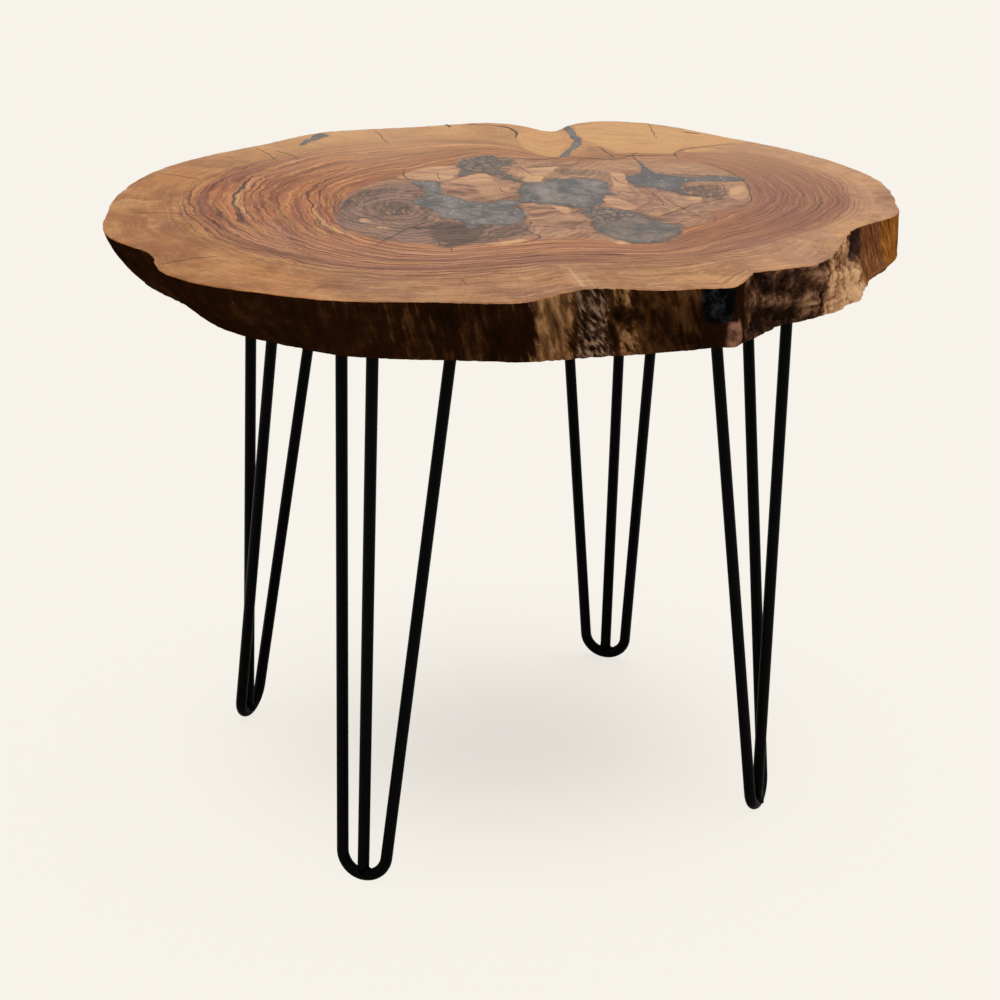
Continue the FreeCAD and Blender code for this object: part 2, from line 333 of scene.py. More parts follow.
class Value:
    """A shader socket that takes part in Python arithmetic."""

    def __init__(self, graph: "Graph", socket: bpy.types.NodeSocket) -> None:
        """Keeps the socket and the graph that new nodes go into."""
        self.graph, self.socket = graph, socket

    def _math(self, operation: str, first: Any, second: Any = None) -> "Value":
        """Adds a Math node on one or two values."""
        sockets = {0: first} if second is None else {0: first, 1: second}
        return self.graph.node("ShaderNodeMath", {"operation": operation}, sockets)

    def __add__(self, other: Any) -> "Value":
        """Adds."""
        return self._math("ADD", self, other)

    __radd__ = __add__

    def __sub__(self, other: Any) -> "Value":
        """Takes away."""
        return self._math("SUBTRACT", self, other)

    def __rsub__(self, other: Any) -> "Value":
        """Takes this away from a number."""
        return self._math("SUBTRACT", other, self)

    def __mul__(self, other: Any) -> "Value":
        """Multiplies."""
        return self._math("MULTIPLY", self, other)

    __rmul__ = __mul__

    def __truediv__(self, other: Any) -> "Value":
        """Divides."""
        return self._math("DIVIDE", self, other)

    def __pow__(self, other: Any) -> "Value":
        """Raises to a power."""
        return self._math("POWER", self, other)

    def step(self, low: float, high: float) -> "Value":
        """Gives a smooth step from 0 at low to 1 at high; low above high turns it round."""
        if low > high:
            return 1 - self.step(high, low)
        settings = {"interpolation_type": "SMOOTHSTEP"}
        return self.graph.node("ShaderNodeMapRange", settings, {0: self, 1: low, 2: high})

    def larger(self, other: Any) -> "Value":
        """Gives the larger of two values."""
        return self._math("MAXIMUM", self, other)

    def fraction(self) -> "Value":
        """Gives what is left over the whole number below."""
        return self._math("FRACT", self)


class Graph:
    """The node tree of one material or of the world."""

    def __init__(self, owner: bpy.types.Material | bpy.types.World) -> None:
        """Empties the owner's node tree."""
        owner.use_nodes = True
        self.owner = owner
        self.tree = owner.node_tree
        self.tree.nodes.clear()

    def node(self, kind: str, settings: Mapping[str, Any] | None = None,
             sockets: Mapping[Any, Any] | None = None, out: Any = 0) -> Value:
        """Adds one node.

        Args:
            kind: the node's type.
            settings: its properties, set first; "stops" gives a colour ramp's places and colours.
            sockets: values or links by socket name or number.
            out: the output to give, by name or number.

        Returns:
            The output as a value.
        """
        made = self.tree.nodes.new(kind)
        for name, setting in (settings or {}).items():
            if name == "stops":
                self._set_stops(made.color_ramp, setting)
            else:
                setattr(made, name, setting)
        for name, value in (sockets or {}).items():
            if isinstance(value, Value):
                self.tree.links.new(value.socket, made.inputs[name])
            else:
                made.inputs[name].default_value = value
        return Value(self, made.outputs[out])

    @staticmethod
    def _set_stops(ramp: bpy.types.ColorRamp, stops: Sequence[tuple[float, Colour]]) -> None:
        """Gives a ramp its stops."""
        while len(ramp.elements) < len(stops):
            ramp.elements.new(1.0)
        for element, (place, colour) in zip(ramp.elements, stops):
            element.position = place
            element.color = (*colour, 1)

    def attribute(self, name: str) -> Value:
        """Gives a corner attribute of the piece."""
        return self.node("ShaderNodeAttribute", {"attribute_name": name}, out="Fac")

    def place(self) -> Value:
        """Gives the Object coordinates, in metres."""
        return self.node("ShaderNodeTexCoord", out="Object")

    def parts(self, vector: Value) -> tuple[Value, Value, Value]:
        """Splits a vector into its three values."""
        node = self.node("ShaderNodeSeparateXYZ", {}, {0: vector}).socket.node
        return tuple(Value(self, socket) for socket in node.outputs)

    def join(self, x: Any, y: Any, z: Any = 0.0) -> Value:
        """Makes a vector of three values."""
        return self.node("ShaderNodeCombineXYZ", {}, {0: x, 1: y, 2: z})

    def noise(self, vector: Value, scale: float, detail: float, rough: float) -> Value:
        """Gives a noise texture's value, about 0 to 1."""
        sockets = {"Vector": vector, "Scale": scale, "Detail": detail, "Roughness": rough}
        return self.node("ShaderNodeTexNoise", {}, sockets)

    def cells(self, vector: Value, scale: float, feature: str = "F1") -> Value:
        """Gives a Voronoi texture's distance, to the nearest point or to the cell's edge."""
        return self.node("ShaderNodeTexVoronoi", {"feature": feature}, {"Vector": vector, "Scale": scale})

    def mix(self, first: Any, second: Any, share: Any) -> Value:
        """Mixes two colours."""
        def colour(value: Any) -> Any:
            return value if isinstance(value, Value) else (*value, 1)
        sockets = {0: share, 6: colour(first), 7: colour(second)}
        return self.node("ShaderNodeMix", {"data_type": "RGBA"}, sockets, out=2)

    def layered(self, base: Any, *layers: tuple[Any, Any]) -> Value:
        """Lays tones over a base, each by its own cover."""
        for tone, cover in layers:
            base = self.mix(base, tone, cover)
        return base

    def ramp(self, value: Value, *stops: tuple[float, Colour]) -> Value:
        """Gives a colour ramp of a value."""
        return self.node("ShaderNodeValToRGB", {"stops": stops}, {0: value})

    def bump(self, height: Value, distance: float, strength: float = 1.0) -> Value:
        """Gives the normal of a height pattern; distance is the height of 1, in metres."""
        return self.node("ShaderNodeBump", {}, {"Height": height, "Distance": distance, "Strength": strength})

    def surface(self, sockets: Mapping[str, Any]) -> bpy.types.Material:
        """Ends a material in a Principled shader with these sockets."""
        shader = self.node("ShaderNodeBsdfPrincipled", {}, sockets)
        self.node_output("ShaderNodeOutputMaterial", shader)
        return self.owner

    def node_output(self, kind: str, shader: Value) -> None:
        """Links a shader to the tree's output node."""
        end = self.tree.nodes.new(kind)
        self.tree.links.new(shader.socket, end.inputs["Surface"])


def new_graph(name: str) -> Graph:
    """Starts a material."""
    return Graph(bpy.data.materials.new(name))


# Finishes


class Grain:
    """The patterns that colour the end grain, from its place and its ring and lobe values.

    A year's growth darkens slowly and ends abruptly: the fraction f of the ring count gives
    a line that rises from f = 0.55 to 0.91 and falls by f = 1.
    """

    def __init__(self, graph: Graph, years: Points) -> None:
        """Draws the patterns.

        Args:
            graph: the material's graph.
            years: how dark the years' lines are, by their share of the way out.
        """
        g = self.graph = graph
        place = self.place = g.place()
        x, y, _ = g.parts(place)
        self.x, self.y = x, y
        lobe = g.attribute("lobe")
        drift = self.drift = g.noise(place, 8, 3, 0.5) - 0.5
        ripple = g.noise(place, 36, 3, 0.6) - 0.5
        shiver = g.noise(place, 150, 2, 0.5) - 0.5
        self.cloud = g.noise(place, 14, 4, 0.6)
        # Parts of the top: the calmer right end, the front, and the front without its left end
        self.calm = x.step(0.09, 0.22)
        self.front = y.step(-0.06, -0.16)
        self.near = self.front * x.step(-0.19, -0.07)
        # The ring count, wavering, and how clearly its lines show: least in the outer sapwood
        self.age = g.attribute("ring") + drift * (0.22 + self.calm * 0.34) + ripple * 0.12 + shiver * 0.03
        self.lined = 1 - self.age.step(2.08, 2.40) * (0.82 - self.near * 0.5)
        # Patterns that run with the rings, from broad to fine
        self.broad, self.bands = self.along(5, 4, 2), self.along(17, 8)
        self.mottle, self.fleck, self.fine = self.along(27, 24, 4), self.along(46, 62, 4), self.along(60, 16)
        # The years' ends: dark lines, thin lines, and one wide band at the front
        strong = 1 - self.calm * 0.25
        dark_years = g.ramp((self.age - 0.8) / 1.6, *((share, (dark,) * 3) for share, dark in years))
        self.late = self.year_end(self.age * 13 + self.broad * 4)
        self.deep = self.late * self.along(7, 6).step(0.29, 0.46) * dark_years * strong
        fine_years = self.year_end(self.age * 27 + self.bands * 4)
        self.thin = fine_years * self.along(11, 20).step(0.48, 0.60) * strong
        band = self.age.step(1.83, 1.90) * self.age.step(2.02, 1.96)
        self.wide = band * self.along(9, 7).step(0.36, 0.54) * self.front * (1 - self.calm)
        # The heart's own grain: round its two lobes, and slanting across them
        self.swirl = g.noise(g.join(lobe * 6 + drift * 8 + ripple * 2, x * 18, y * 18), 1, 4, 0.65)
        self.streak = g.noise(g.join(x * 18 + y * 6 + drift * 4, y * 62 - x * 22 + drift * 8), 1, 4, 0.65)
        self.core_line = self.year_end(lobe * 8 + drift * 9 + ripple * 3) * self.swirl.step(0.38, 0.54)

    def along(self, speed: float, scale: float, detail: float = 3.0) -> Value:
        """Gives noise that is drawn out along the rings: speed across them, scale in plan."""
        g = self.graph
        return g.noise(g.join(self.age * speed, self.x * scale, self.y * scale), 1, detail, 0.6)

    @staticmethod
    def year_end(count: Value) -> Value:
        """Gives the line at the end of each year."""
        part = count.fraction()
        return part.step(0.55, 0.91) * part.step(1.0, 0.93)


@dataclass(frozen=True)
class SlicedWood:
    """End grain of the trunk: golden sapwood, red-brown rings and a grey-stained heart."""

    name: str
    sap_light: Colour = srgb(198, 137, 83)
    sap_deep: Colour = srgb(154, 97, 55)
    sap_brown: Colour = srgb(126, 78, 44)
    heart_light: Colour = srgb(196, 126, 79)
    heart_red: Colour = srgb(148, 87, 59)
    heart_mid: Colour = srgb(160, 99, 71)
    heart_dark: Colour = srgb(94, 53, 43)
    core_light: Colour = srgb(192, 146, 114)
    core_dark: Colour = srgb(134, 98, 79)
    line: Colour = srgb(62, 36, 34)
    stain_light: Colour = srgb(152, 121, 105)
    stain_dark: Colour = srgb(76, 63, 56)
    tan: Colour = srgb(216, 170, 125)
    gold: Colour = srgb(220, 170, 108)
    pale: Colour = srgb(226, 192, 146)
    mauve: Colour = srgb(138, 96, 86)
    blush: Colour = srgb(206, 170, 147)
    ash: Colour = srgb(128, 112, 107)
    flesh: Colour = srgb(216, 152, 112)
    grime: Colour = srgb(96, 78, 62)
    roughness: float = 0.46
    shine: float = 0.06
    dull: float = 0.0
    years: Points = (
        (0.125, 0.5), (0.28, 1.0), (0.41, 0.65), (0.56, 1.0), (0.66, 0.7), (0.74, 1.0), (0.83, 0.75),
        (0.92, 0.6), (1.0, 0.1),
    )

    def core(self, p: Grain) -> Value:
        """Colours the wood inside the stain's edge."""
        share = (p.swirl * 0.45 + p.streak * 0.55).step(0.34, 0.62)
        return p.graph.layered(self.core_dark, (self.core_light, share), (self.line, p.core_line * 0.4))

    def heart(self, p: Grain) -> Value:
        """Colours the red-brown rings between the stained heart and the sapwood."""
        stops = (0.30, self.heart_dark), (0.43, self.heart_red), (0.55, self.heart_light), (0.72, self.tan)
        return p.graph.layered(
            p.graph.ramp(p.broad * 0.35 + p.bands * 0.65, *stops),
            (self.heart_mid, p.calm * 0.68),
            (self.blush, p.front * 0.2),
            (self.flesh, p.along(13, 6).step(0.50, 0.60) * p.front * (0.6 - p.calm * 0.4)),
            (self.heart_dark, p.fine.step(0.52, 0.66) * (0.5 - p.calm * 0.3)),
            (self.line, p.deep.larger(p.thin * 0.62) * 0.95),
            (self.heart_red, p.mottle.step(0.50, 0.62) * (0.4 - p.calm * 0.2)),
        )

    def sap(self, p: Grain) -> Value:
        """Colours the sapwood, which is blotched rather than lined in its outer part."""
        g = p.graph
        plain = 1 - p.lined
        blotch = g.noise(p.place, 46, 4, 0.65)
        return g.layered(
            self.sap_deep,
            (self.sap_light, (p.broad * 0.15 + p.fine * 0.1 + p.cloud * 0.75).step(0.40, 0.58)),
            (self.blush, (p.near * 0.2).larger(p.calm * 0.34)),
            (self.sap_brown, p.mottle.step(0.49, 0.62) * (0.5 - p.calm * 0.25) * p.lined),
            (self.sap_brown, blotch.step(0.51, 0.64) * plain * 0.42),
            (self.tan, blotch.step(0.47, 0.36) * plain * 0.34),
            # Painted shade: the outer sapwood darker towards the left end.
            (self.sap_deep, plain * p.x.step(-0.10, -0.24) * 0.42),
            (self.gold, g.noise(p.place, 19, 4, 0.62).step(0.51, 0.61) * (0.42 - p.front * 0.14)),
            (self.pale, p.mottle.step(0.45, 0.34) * (0.14 + p.near * 0.22)),
            (self.sap_brown, g.noise(p.place, 32, 4, 0.65).step(0.50, 0.64) * 0.4),
            (self.heart_red, p.late * p.cloud.step(0.36, 0.60) * (0.5 - p.calm * 0.3) * p.lined),
            (self.heart_dark, p.deep.larger(p.thin * (0.75 + p.front * 0.2)) * p.lined * 0.8),
            (self.heart_dark, p.along(34, 9, 4).step(0.51, 0.61) * p.front * p.lined * 0.5),
        )

    def ringed(self, p: Grain) -> Value:
        """Joins the core, the rings and the sapwood, and tints them by fleck, ray and place."""
        g = p.graph
        tint = p.along(22, 13)
        inner = p.age.step(2.5, 1.95) * 0.7 + 0.3
        far = (p.x * p.x + p.y * p.y) ** 0.5
        rays = g.noise(g.join(p.x / far * 95, p.y / far * 95, far * 22), 1, 3, 0.6)
        return g.layered(
            self.core(p),
            (self.heart(p), p.age.step(0.90, 1.02)),
            (self.sap(p), p.age.step(1.90, 2.10)),
            (self.heart_dark, p.fleck.step(0.52, 0.63) * (0.22 - p.calm * 0.12) * p.lined),
            (self.tan, p.fleck.step(0.47, 0.36) * (0.16 - p.calm * 0.1) * p.lined),
            (self.mauve, tint.step(0.54, 0.64) * inner * 0.45),
            (self.gold, tint.step(0.45, 0.35) * inner * 0.3),
            (self.heart_dark, p.wide * 0.62),
            (self.ash, p.calm * p.age.step(2.2, 1.9) * 0.2),
            (self.heart_dark, rays.step(0.54, 0.70) * 0.2),
        )

    def patched(self, p: Grain, wood: Value) -> Value:
        """Lays the top's patches over the rings, each with a torn border."""
        g, streak = p.graph, p.streak
        torn = (g.noise(p.place, 60, 5, 0.68) - 0.5) * 1.1 + p.drift * 0.4
        clouded = (p.swirl * 0.55 + p.cloud * 0.45).step(0.38, 0.60)
        pieces = (
            ("golden", 0.85, self.gold, (self.sap_light, p.fine.step(0.40, 0.62)),
             (self.sap_deep, p.mottle.step(0.5, 0.66) * 0.6)),
            ("rusty", 0.6, self.heart_red, (self.heart_dark, p.bands.step(0.45, 0.6))),
            ("grey", 0.92, self.stain_dark, (self.stain_light, clouded), (self.line, p.core_line * 0.65),
             (self.core_light, p.fleck.step(0.47, 0.38) * 0.4)),
            ("smoke", 0.6, self.stain_dark, (self.line, p.core_line * 0.5)),
            ("brown", 0.9, self.core_dark, (self.core_light, streak.step(0.40, 0.62)),
             (self.line, streak.step(0.46, 0.34) * 0.5)),
            ("bare", 0.85, self.tan, (self.core_light, streak.step(0.42, 0.54)),
             (self.core_dark, streak.step(0.55, 0.66) * 0.7)),
        )
        for kind, most, base, *layers in pieces:
            wood = g.mix(wood, g.layered(base, *layers), (g.attribute(kind) + torn).step(0.30, 0.70) * most)
        return wood

    def material(self) -> bpy.types.Material:
        """Builds the material from the slab's ring, lobe and patch values."""
        g = new_graph(self.name)
        p = Grain(g, self.years)
        pores = g.noise(p.place, 800, 2, 0.5)
        wood = g.layered(
            self.patched(p, self.ringed(p)),
            (self.pale, (g.attribute("pale") * (0.4 + p.cloud)).step(0.2, 0.9) * 0.6),
            # Painted light: tan laid over the rear of the top, more at its left, makes the rear lighter.
            (self.tan, p.y.step(0.02, 0.24) * (0.42 + p.x.step(0.0, -0.15) * 0.26)),
            (self.line, pores.step(0.57, 0.74) * 0.45),
        )
        if self.dull:
            wood = g.mix(wood, self.grime, self.dull)
        relief = p.bands * 0.5 + p.fine * 0.35 + pores * 0.15
        return g.surface({
            "Base Color": wood, "Roughness": self.roughness + (p.cloud - 0.5) * 0.18,
            "Specular IOR Level": self.shine, "Normal": g.bump(relief, 0.0002, 0.35),
        })


@dataclass(frozen=True)
class EdgeCoat:
    """How a kind of patch on the edge looks: the pattern that shades it, its tones and its fray."""

    kind: str
    pattern: str
    dark: Colour
    middle: Colour
    light: Colour
    fray: float


# The coats in the order that they are laid; the painted highlight on the burl's crests lies between the two
# groups

LOWER_COATS = (
    EdgeCoat("umber", "fibrous", srgb(37, 18, 6), srgb(57, 33, 15), srgb(90, 58, 31), 1.5),
    EdgeCoat("gold", "fibrous", srgb(38, 22, 11), srgb(110, 74, 44), srgb(180, 134, 90), 1.1),
    EdgeCoat("silver", "combed", srgb(24, 14, 8), srgb(68, 46, 31), srgb(136, 106, 84), 1.0),
    EdgeCoat("burl", "darker lumps", srgb(29, 17, 11), srgb(68, 44, 30), srgb(128, 92, 68), 0.5),
    EdgeCoat("tan", "lumpy", srgb(66, 42, 27), srgb(152, 109, 76), srgb(216, 170, 126), 0.9),
)
UPPER_COATS = (
    EdgeCoat("russet", "stranded", srgb(60, 31, 18), srgb(118, 73, 44), srgb(176, 118, 74), 1.2),
    EdgeCoat("plum", "lumpy", srgb(36, 21, 18), srgb(62, 40, 34), srgb(100, 68, 54), 1.2),
    EdgeCoat("amber", "stranded", srgb(66, 36, 14), srgb(132, 78, 32), srgb(194, 130, 60), 0.4),
    # The black blot's light tone is a painted bluish sheen on its lumps.
    EdgeCoat("black", "lumpy", srgb(7, 7, 8), srgb(7, 7, 8), srgb(38, 39, 42), 1.1),
    EdgeCoat("rose", "crusted", srgb(52, 32, 24), srgb(104, 71, 53), srgb(146, 104, 82), 0.4),
)


@dataclass(frozen=True)
class LiveEdge:
    """The slab's outer edge: dark fibrous wood under the bark, with lighter and blacker patches."""

    name: str = "live_edge_fibre"
    deep: Colour = srgb(23, 12, 5)
    brown: Colour = srgb(37, 18, 6)
    streak: Colour = srgb(58, 33, 16)
    painted_crest_highlight: Colour = srgb(186, 144, 110)
    shine: float = 0.0

    def material(self) -> bpy.types.Material:
        """Builds the material from the edge's relief and patch values."""
        g = new_graph(self.name)
        place = g.place()
        x, y, z = g.parts(place)
        relief = g.attribute("relief")
        slant = z * 0.25
        fibre = g.noise(g.join((x + slant) * 190, (y + slant) * 190, z * 26), 1, 4, 0.6)
        strand = g.noise(g.join((x + slant) * 560, (y + slant) * 560, z * 48), 1, 3, 0.6)
        patch = g.noise(place, 22, 5, 0.65)
        crust = g.noise(place, 95, 4, 0.62)
        grit = g.noise(place, 260, 4, 0.7)
        # worn and lumpy take in the relief, 0 in the creases and 1 on the lumps, so the tones that they lay
        # carry painted shade in the creases and painted light on the lumps.
        worn = fibre * 0.4 + strand * 0.25 + relief * 0.35
        lumpy = (relief * 0.24 + crust * 0.36 + fibre * 0.1 + grit * 0.3 - 0.5) * 1.35 + 0.5
        fibrous = worn * 0.55 + crust * 0.25 + patch * 0.2
        patterns = {
            "fibrous": fibrous, "stranded": fibrous * 0.7 + strand * 0.3, "crusted": crust,
            "lumpy": lumpy, "darker lumps": lumpy - 0.02,
            "combed": g.noise(g.join((x + z * 0.5) * 330, (y + z * 0.3) * 330, z * 9), 1, 4, 0.6),
        }

        def layer(coat: EdgeCoat) -> tuple[Value, Value]:
            cover = g.attribute(coat.kind) + (patch - 0.5) * coat.fray + (fibre - 0.5) * coat.fray
            tones = (0.37, coat.dark), (0.49, coat.middle), (0.61, coat.light)
            return g.ramp(patterns[coat.pattern], *tones), cover.step(0.34, 0.66)

        bare = (0.40, self.deep), (0.52, self.brown), (0.64, self.streak)
        # Painted highlight: a light tone on the burl's crests, where the relief and the crust are high.
        folds = g.attribute("burl") * relief.step(0.66, 0.92) * crust.step(0.46, 0.62) * 0.6
        wood = g.layered(
            g.ramp(worn * 0.3 + patch * 0.35 + crust * 0.35, *bare),
            *map(layer, LOWER_COATS), (self.painted_crest_highlight, folds), *map(layer, UPPER_COATS),
        )
        height = fibre * 0.42 + crust * 0.36 + strand * 0.12 + grit * 0.1
        return g.surface({
            "Base Color": wood, "Roughness": 0.55 - crust * 0.22, "Specular IOR Level": self.shine,
            "Normal": g.bump(height, 0.0022, 0.9),
        })


@dataclass(frozen=True)
class CastResin:
    """Charcoal resin, polished flush: cloudy, with fine bubbles and, where asked, wood crumbs."""

    name: str
    body: Colour = srgb(64, 61, 62)
    cloud: Colour = srgb(134, 122, 115)
    speck: Colour = srgb(206, 198, 188)
    crumb: Colour = srgb(146, 118, 98)
    gap: Colour = srgb(40, 32, 28)
    shore: Colour = srgb(80, 70, 64)
    milk: Colour = srgb(150, 134, 126)
    crumbs: float = 0.0
    crumbs_at: tuple[float, float] = (0.0, 0.0)
    crumbs_reach: float = 0.04

    def material(self) -> bpy.types.Material:
        """Builds the material."""
        g = new_graph(self.name)
        place = g.place()
        x, y, _ = g.parts(place)
        haze = g.noise(place, 26, 5, 0.65)
        dust = g.noise(place, 90, 5, 0.7)
        colour = g.mix(self.body, self.cloud, (haze * 0.5 + dust * 0.5).step(0.40, 0.60))
        colour = g.mix(colour, self.crumb, dust.step(0.54, 0.68) * haze.step(0.44, 0.60) * 0.55)
        if self.crumbs:
            bent = g.join(x + (dust - 0.5) * 0.012, y + (haze - 0.5) * 0.03)
            lumps = g.cells(bent, 135, "DISTANCE_TO_EDGE")
            off_x, off_y = x - self.crumbs_at[0] * MM, y - self.crumbs_at[1] * MM
            away = (off_x * off_x + off_y * off_y) ** 0.5 + (haze - 0.5) * 0.06
            where = away.step(self.crumbs_reach, self.crumbs_reach * 0.4) * self.crumbs
            broken = g.mix(self.gap, self.crumb, lumps.step(0.0, 0.24) * (0.35 + dust))
            colour = g.mix(colour, broken, where)
        colour = g.mix(colour, self.shore, (g.attribute("shore") + dust - 0.5).step(0.35, 0.9) * 0.5)
        colour = g.mix(colour, self.milk, (g.attribute("milk") * (0.3 + haze)).step(0.2, 0.9) * 0.55)
        few = g.noise(place, 34, 3, 0.6).step(0.42, 0.54)
        bubbles = g.cells(place, 135).step(0.18, 0.09) * few
        fine = g.cells(place, 330).step(0.24, 0.10) * g.noise(place, 60, 3, 0.6).step(0.48, 0.62) * 0.6
        colour = g.mix(colour, self.speck, bubbles.larger(fine) * 0.6)
        return g.surface({
            "Base Color": colour, "Roughness": 0.26 + haze * 0.2, "Specular IOR Level": 0.16,
            "Normal": g.bump(g.noise(place, 80, 2, 0.5), 0.00012, 0.25),
        })


@dataclass(frozen=True)
class DarkCheck:
    """Drying cracks filled with dark resin and dust."""

    name: str = "check_resin"
    dark: Colour = srgb(50, 36, 31)
    light: Colour = srgb(92, 70, 58)

    def material(self) -> bpy.types.Material:
        """Builds the material."""
        g = new_graph(self.name)
        tone = g.noise(g.place(), 120, 3, 0.6)
        colour = g.mix(self.dark, self.light, tone.step(0.4, 0.65))
        return g.surface({"Base Color": colour, "Roughness": 0.35 + tone * 0.2, "Specular IOR Level": 0.2})


@dataclass(frozen=True)
class BlackPaint:
    """Black satin paint on steel, with a faint orange peel."""

    name: str
    tone: Colour = (0.0012, 0.0012, 0.0013)
    worn: Colour = (0.003, 0.003, 0.003)
    roughness: float = 0.36
    shine: float = 0.03

    def material(self) -> bpy.types.Material:
        """Builds the material."""
        g = new_graph(self.name)
        place = g.place()
        peel = g.noise(place, 650, 2, 0.5)
        dust = g.noise(place, 35, 4, 0.6)
        colour = g.mix(self.tone, self.worn, dust.step(0.52, 0.8) * 0.6)
        return g.surface({
            "Base Color": colour, "Roughness": self.roughness + (dust - 0.5) * 0.14,
            "Specular IOR Level": self.shine, "Normal": g.bump(peel, 0.00008, 0.3),
        })


class Finish(Enum):
    """The finishes of the table's pieces."""

    TOP = SlicedWood("sanded_end_grain")
    UNDERSIDE = SlicedWood("sawn_underside", roughness=0.7, shine=0.12, dull=0.45)
    EDGE = LiveEdge()
    RESIN = CastResin("charcoal_resin")
    CRUMBLED = CastResin("crumbled_resin", cloud=srgb(126, 106, 94), crumbs=0.85, crumbs_at=(74, -32))
    DUSTY = CastResin("dusty_resin", body=srgb(52, 42, 36), cloud=srgb(104, 85, 73), speck=srgb(140, 116, 98),
                       crumbs=0.6, crumbs_at=(-22, 104), crumbs_reach=0.05)
    CLEAR = CastResin("clear_resin", cloud=srgb(98, 94, 94))
    CHECK = DarkCheck()
    ROD = BlackPaint("black_rod_paint")
    PLATE = BlackPaint("black_plate_paint", roughness=0.42)
    SCREW = BlackPaint("black_screw", tone=(0.012, 0.012, 0.013), roughness=0.3, shine=0.3)

    def material(self) -> bpy.types.Material:
        """Gives the finish's material, made once."""
        made = bpy.data.materials.get(self.value.name)
        return made or self.value.material()


# The slab


@dataclass(frozen=True)
class EdgePatch:
    """A patch on the slab's edge: its kind, its bearings in degrees and its share of the height."""

    kind: str
    start: float
    end: float
    low: float = -1.0
    high: float = 2.0
    blur: float = 2.0
    strength: float = 1.0

    def cover(self, bearing: Array, rise: Array) -> Array:
        """Gives how much of each place the patch covers, as a rounded box: |a|^4 + |b|^4 = 1."""
        half, tall = (self.end - self.start) / 2, (self.high - self.low) / 2
        across = (np.degrees(bearing) - self.start - half) / half
        up = (rise - self.low - tall) / tall
        blur = self.blur / half
        return self.strength * smooth(1 + blur, 1 - blur, (across ** 4 + up ** 4) ** 0.25)


@dataclass(frozen=True)
class TopPatch:
    """A patch on the slab's top: its kind, its outline in plan, its blur and its strength."""

    kind: str
    outline: Points
    strength: float = 1.0
    blur: float = 3.0

    def cover(self, x: Array, y: Array) -> Array:
        """Gives how much of each place the patch covers, from 0 to its strength."""
        return self.strength * smooth(self.blur, -self.blur, outline_distance(x, y, self.outline))


# The rim's points in plan, and how far in the underside lies from each

RIM = (
    (-315, -84, 28), (-298, -140, 40), (-268, -168, 33), (-259, -203, 43), (-222, -238, 38),
    (-178, -253, 28), (-125, -265, 17), (-60, -262, 9), (15, -253, 1), (58, -220, -20), (115, -216, -6),
    (145, -209, -2), (168, -203, 3), (178, -184, -7), (186, -167, -11), (213, -152, 3), (242, -130, 4),
    (262, -75, -10), (285, -30, -9), (309, -5, -4), (315, 40, -2), (311, 90, 4), (289, 135, 9),
    (240, 188, 8), (180, 228, 9), (120, 261, 9), (75, 263, 9), (50, 245, 9), (35, 224, 9), (8, 240, 9),
    (-45, 240, 8), (-90, 222, 7), (-170, 191, 5), (-210, 152, 4), (-265, 98, 8), (-299, 40, 15),
    (-314, -22, 21),
)

# Radii by bearing of the stained heart and of the red heartwood

STAIN_EDGE = (
    (-172, 136), (-139, 145), (-112, 135), (-82, 106), (-55, 122), (-46, 145), (-23, 152), (0, 190),
    (14, 204), (31, 215), (45, 205), (59, 168), (72, 140), (98, 137), (111, 123), (144, 111), (166, 128),
)

HEARTWOOD_EDGE = (
    (-163, 256), (-150, 253), (-137, 240), (-115, 212), (-96, 181), (-79, 163), (-62, 170), (-44, 194),
    (-28, 210), (-9, 253), (4, 276), (17, 290), (31, 280), (43, 256), (52, 222), (60, 186), (69, 158),
    (77, 152), (88, 170), (96, 186), (119, 206), (142, 221), (158, 231), (168, 246), (180, 257),
)

EDGE_PATCHES = (
    EdgePatch("gold", -85.5, -78, blur=3.0, strength=0.85),
    EdgePatch("silver", -77.5, -71, blur=2.5, strength=0.8),
    EdgePatch("gold", -71, -66, blur=3.0, strength=0.55),
    EdgePatch("umber", -80, -54, blur=3.0, strength=0.66),
    EdgePatch("umber", -112, -82, blur=9.0, strength=0.34),
    EdgePatch("umber", 3, 70, strength=0.6),
    EdgePatch("gold", 95, 150, blur=6.0, strength=0.4),
    EdgePatch("burl", -47, -8),
    EdgePatch("tan", -27, -9),
    EdgePatch("russet", -9.5, 1.5),
    EdgePatch("plum", -14, -7.6, 0.5, 1.4, 2.2),
    EdgePatch("rose", -51.6, -48.2, 0.0, 0.42, 1.5),
    EdgePatch("amber", -3.6, 3.0, 0.15, 1.6, 1.5),
    EdgePatch("black", -55.6, -49.8, 0.38, 1.3, 1.5),
)

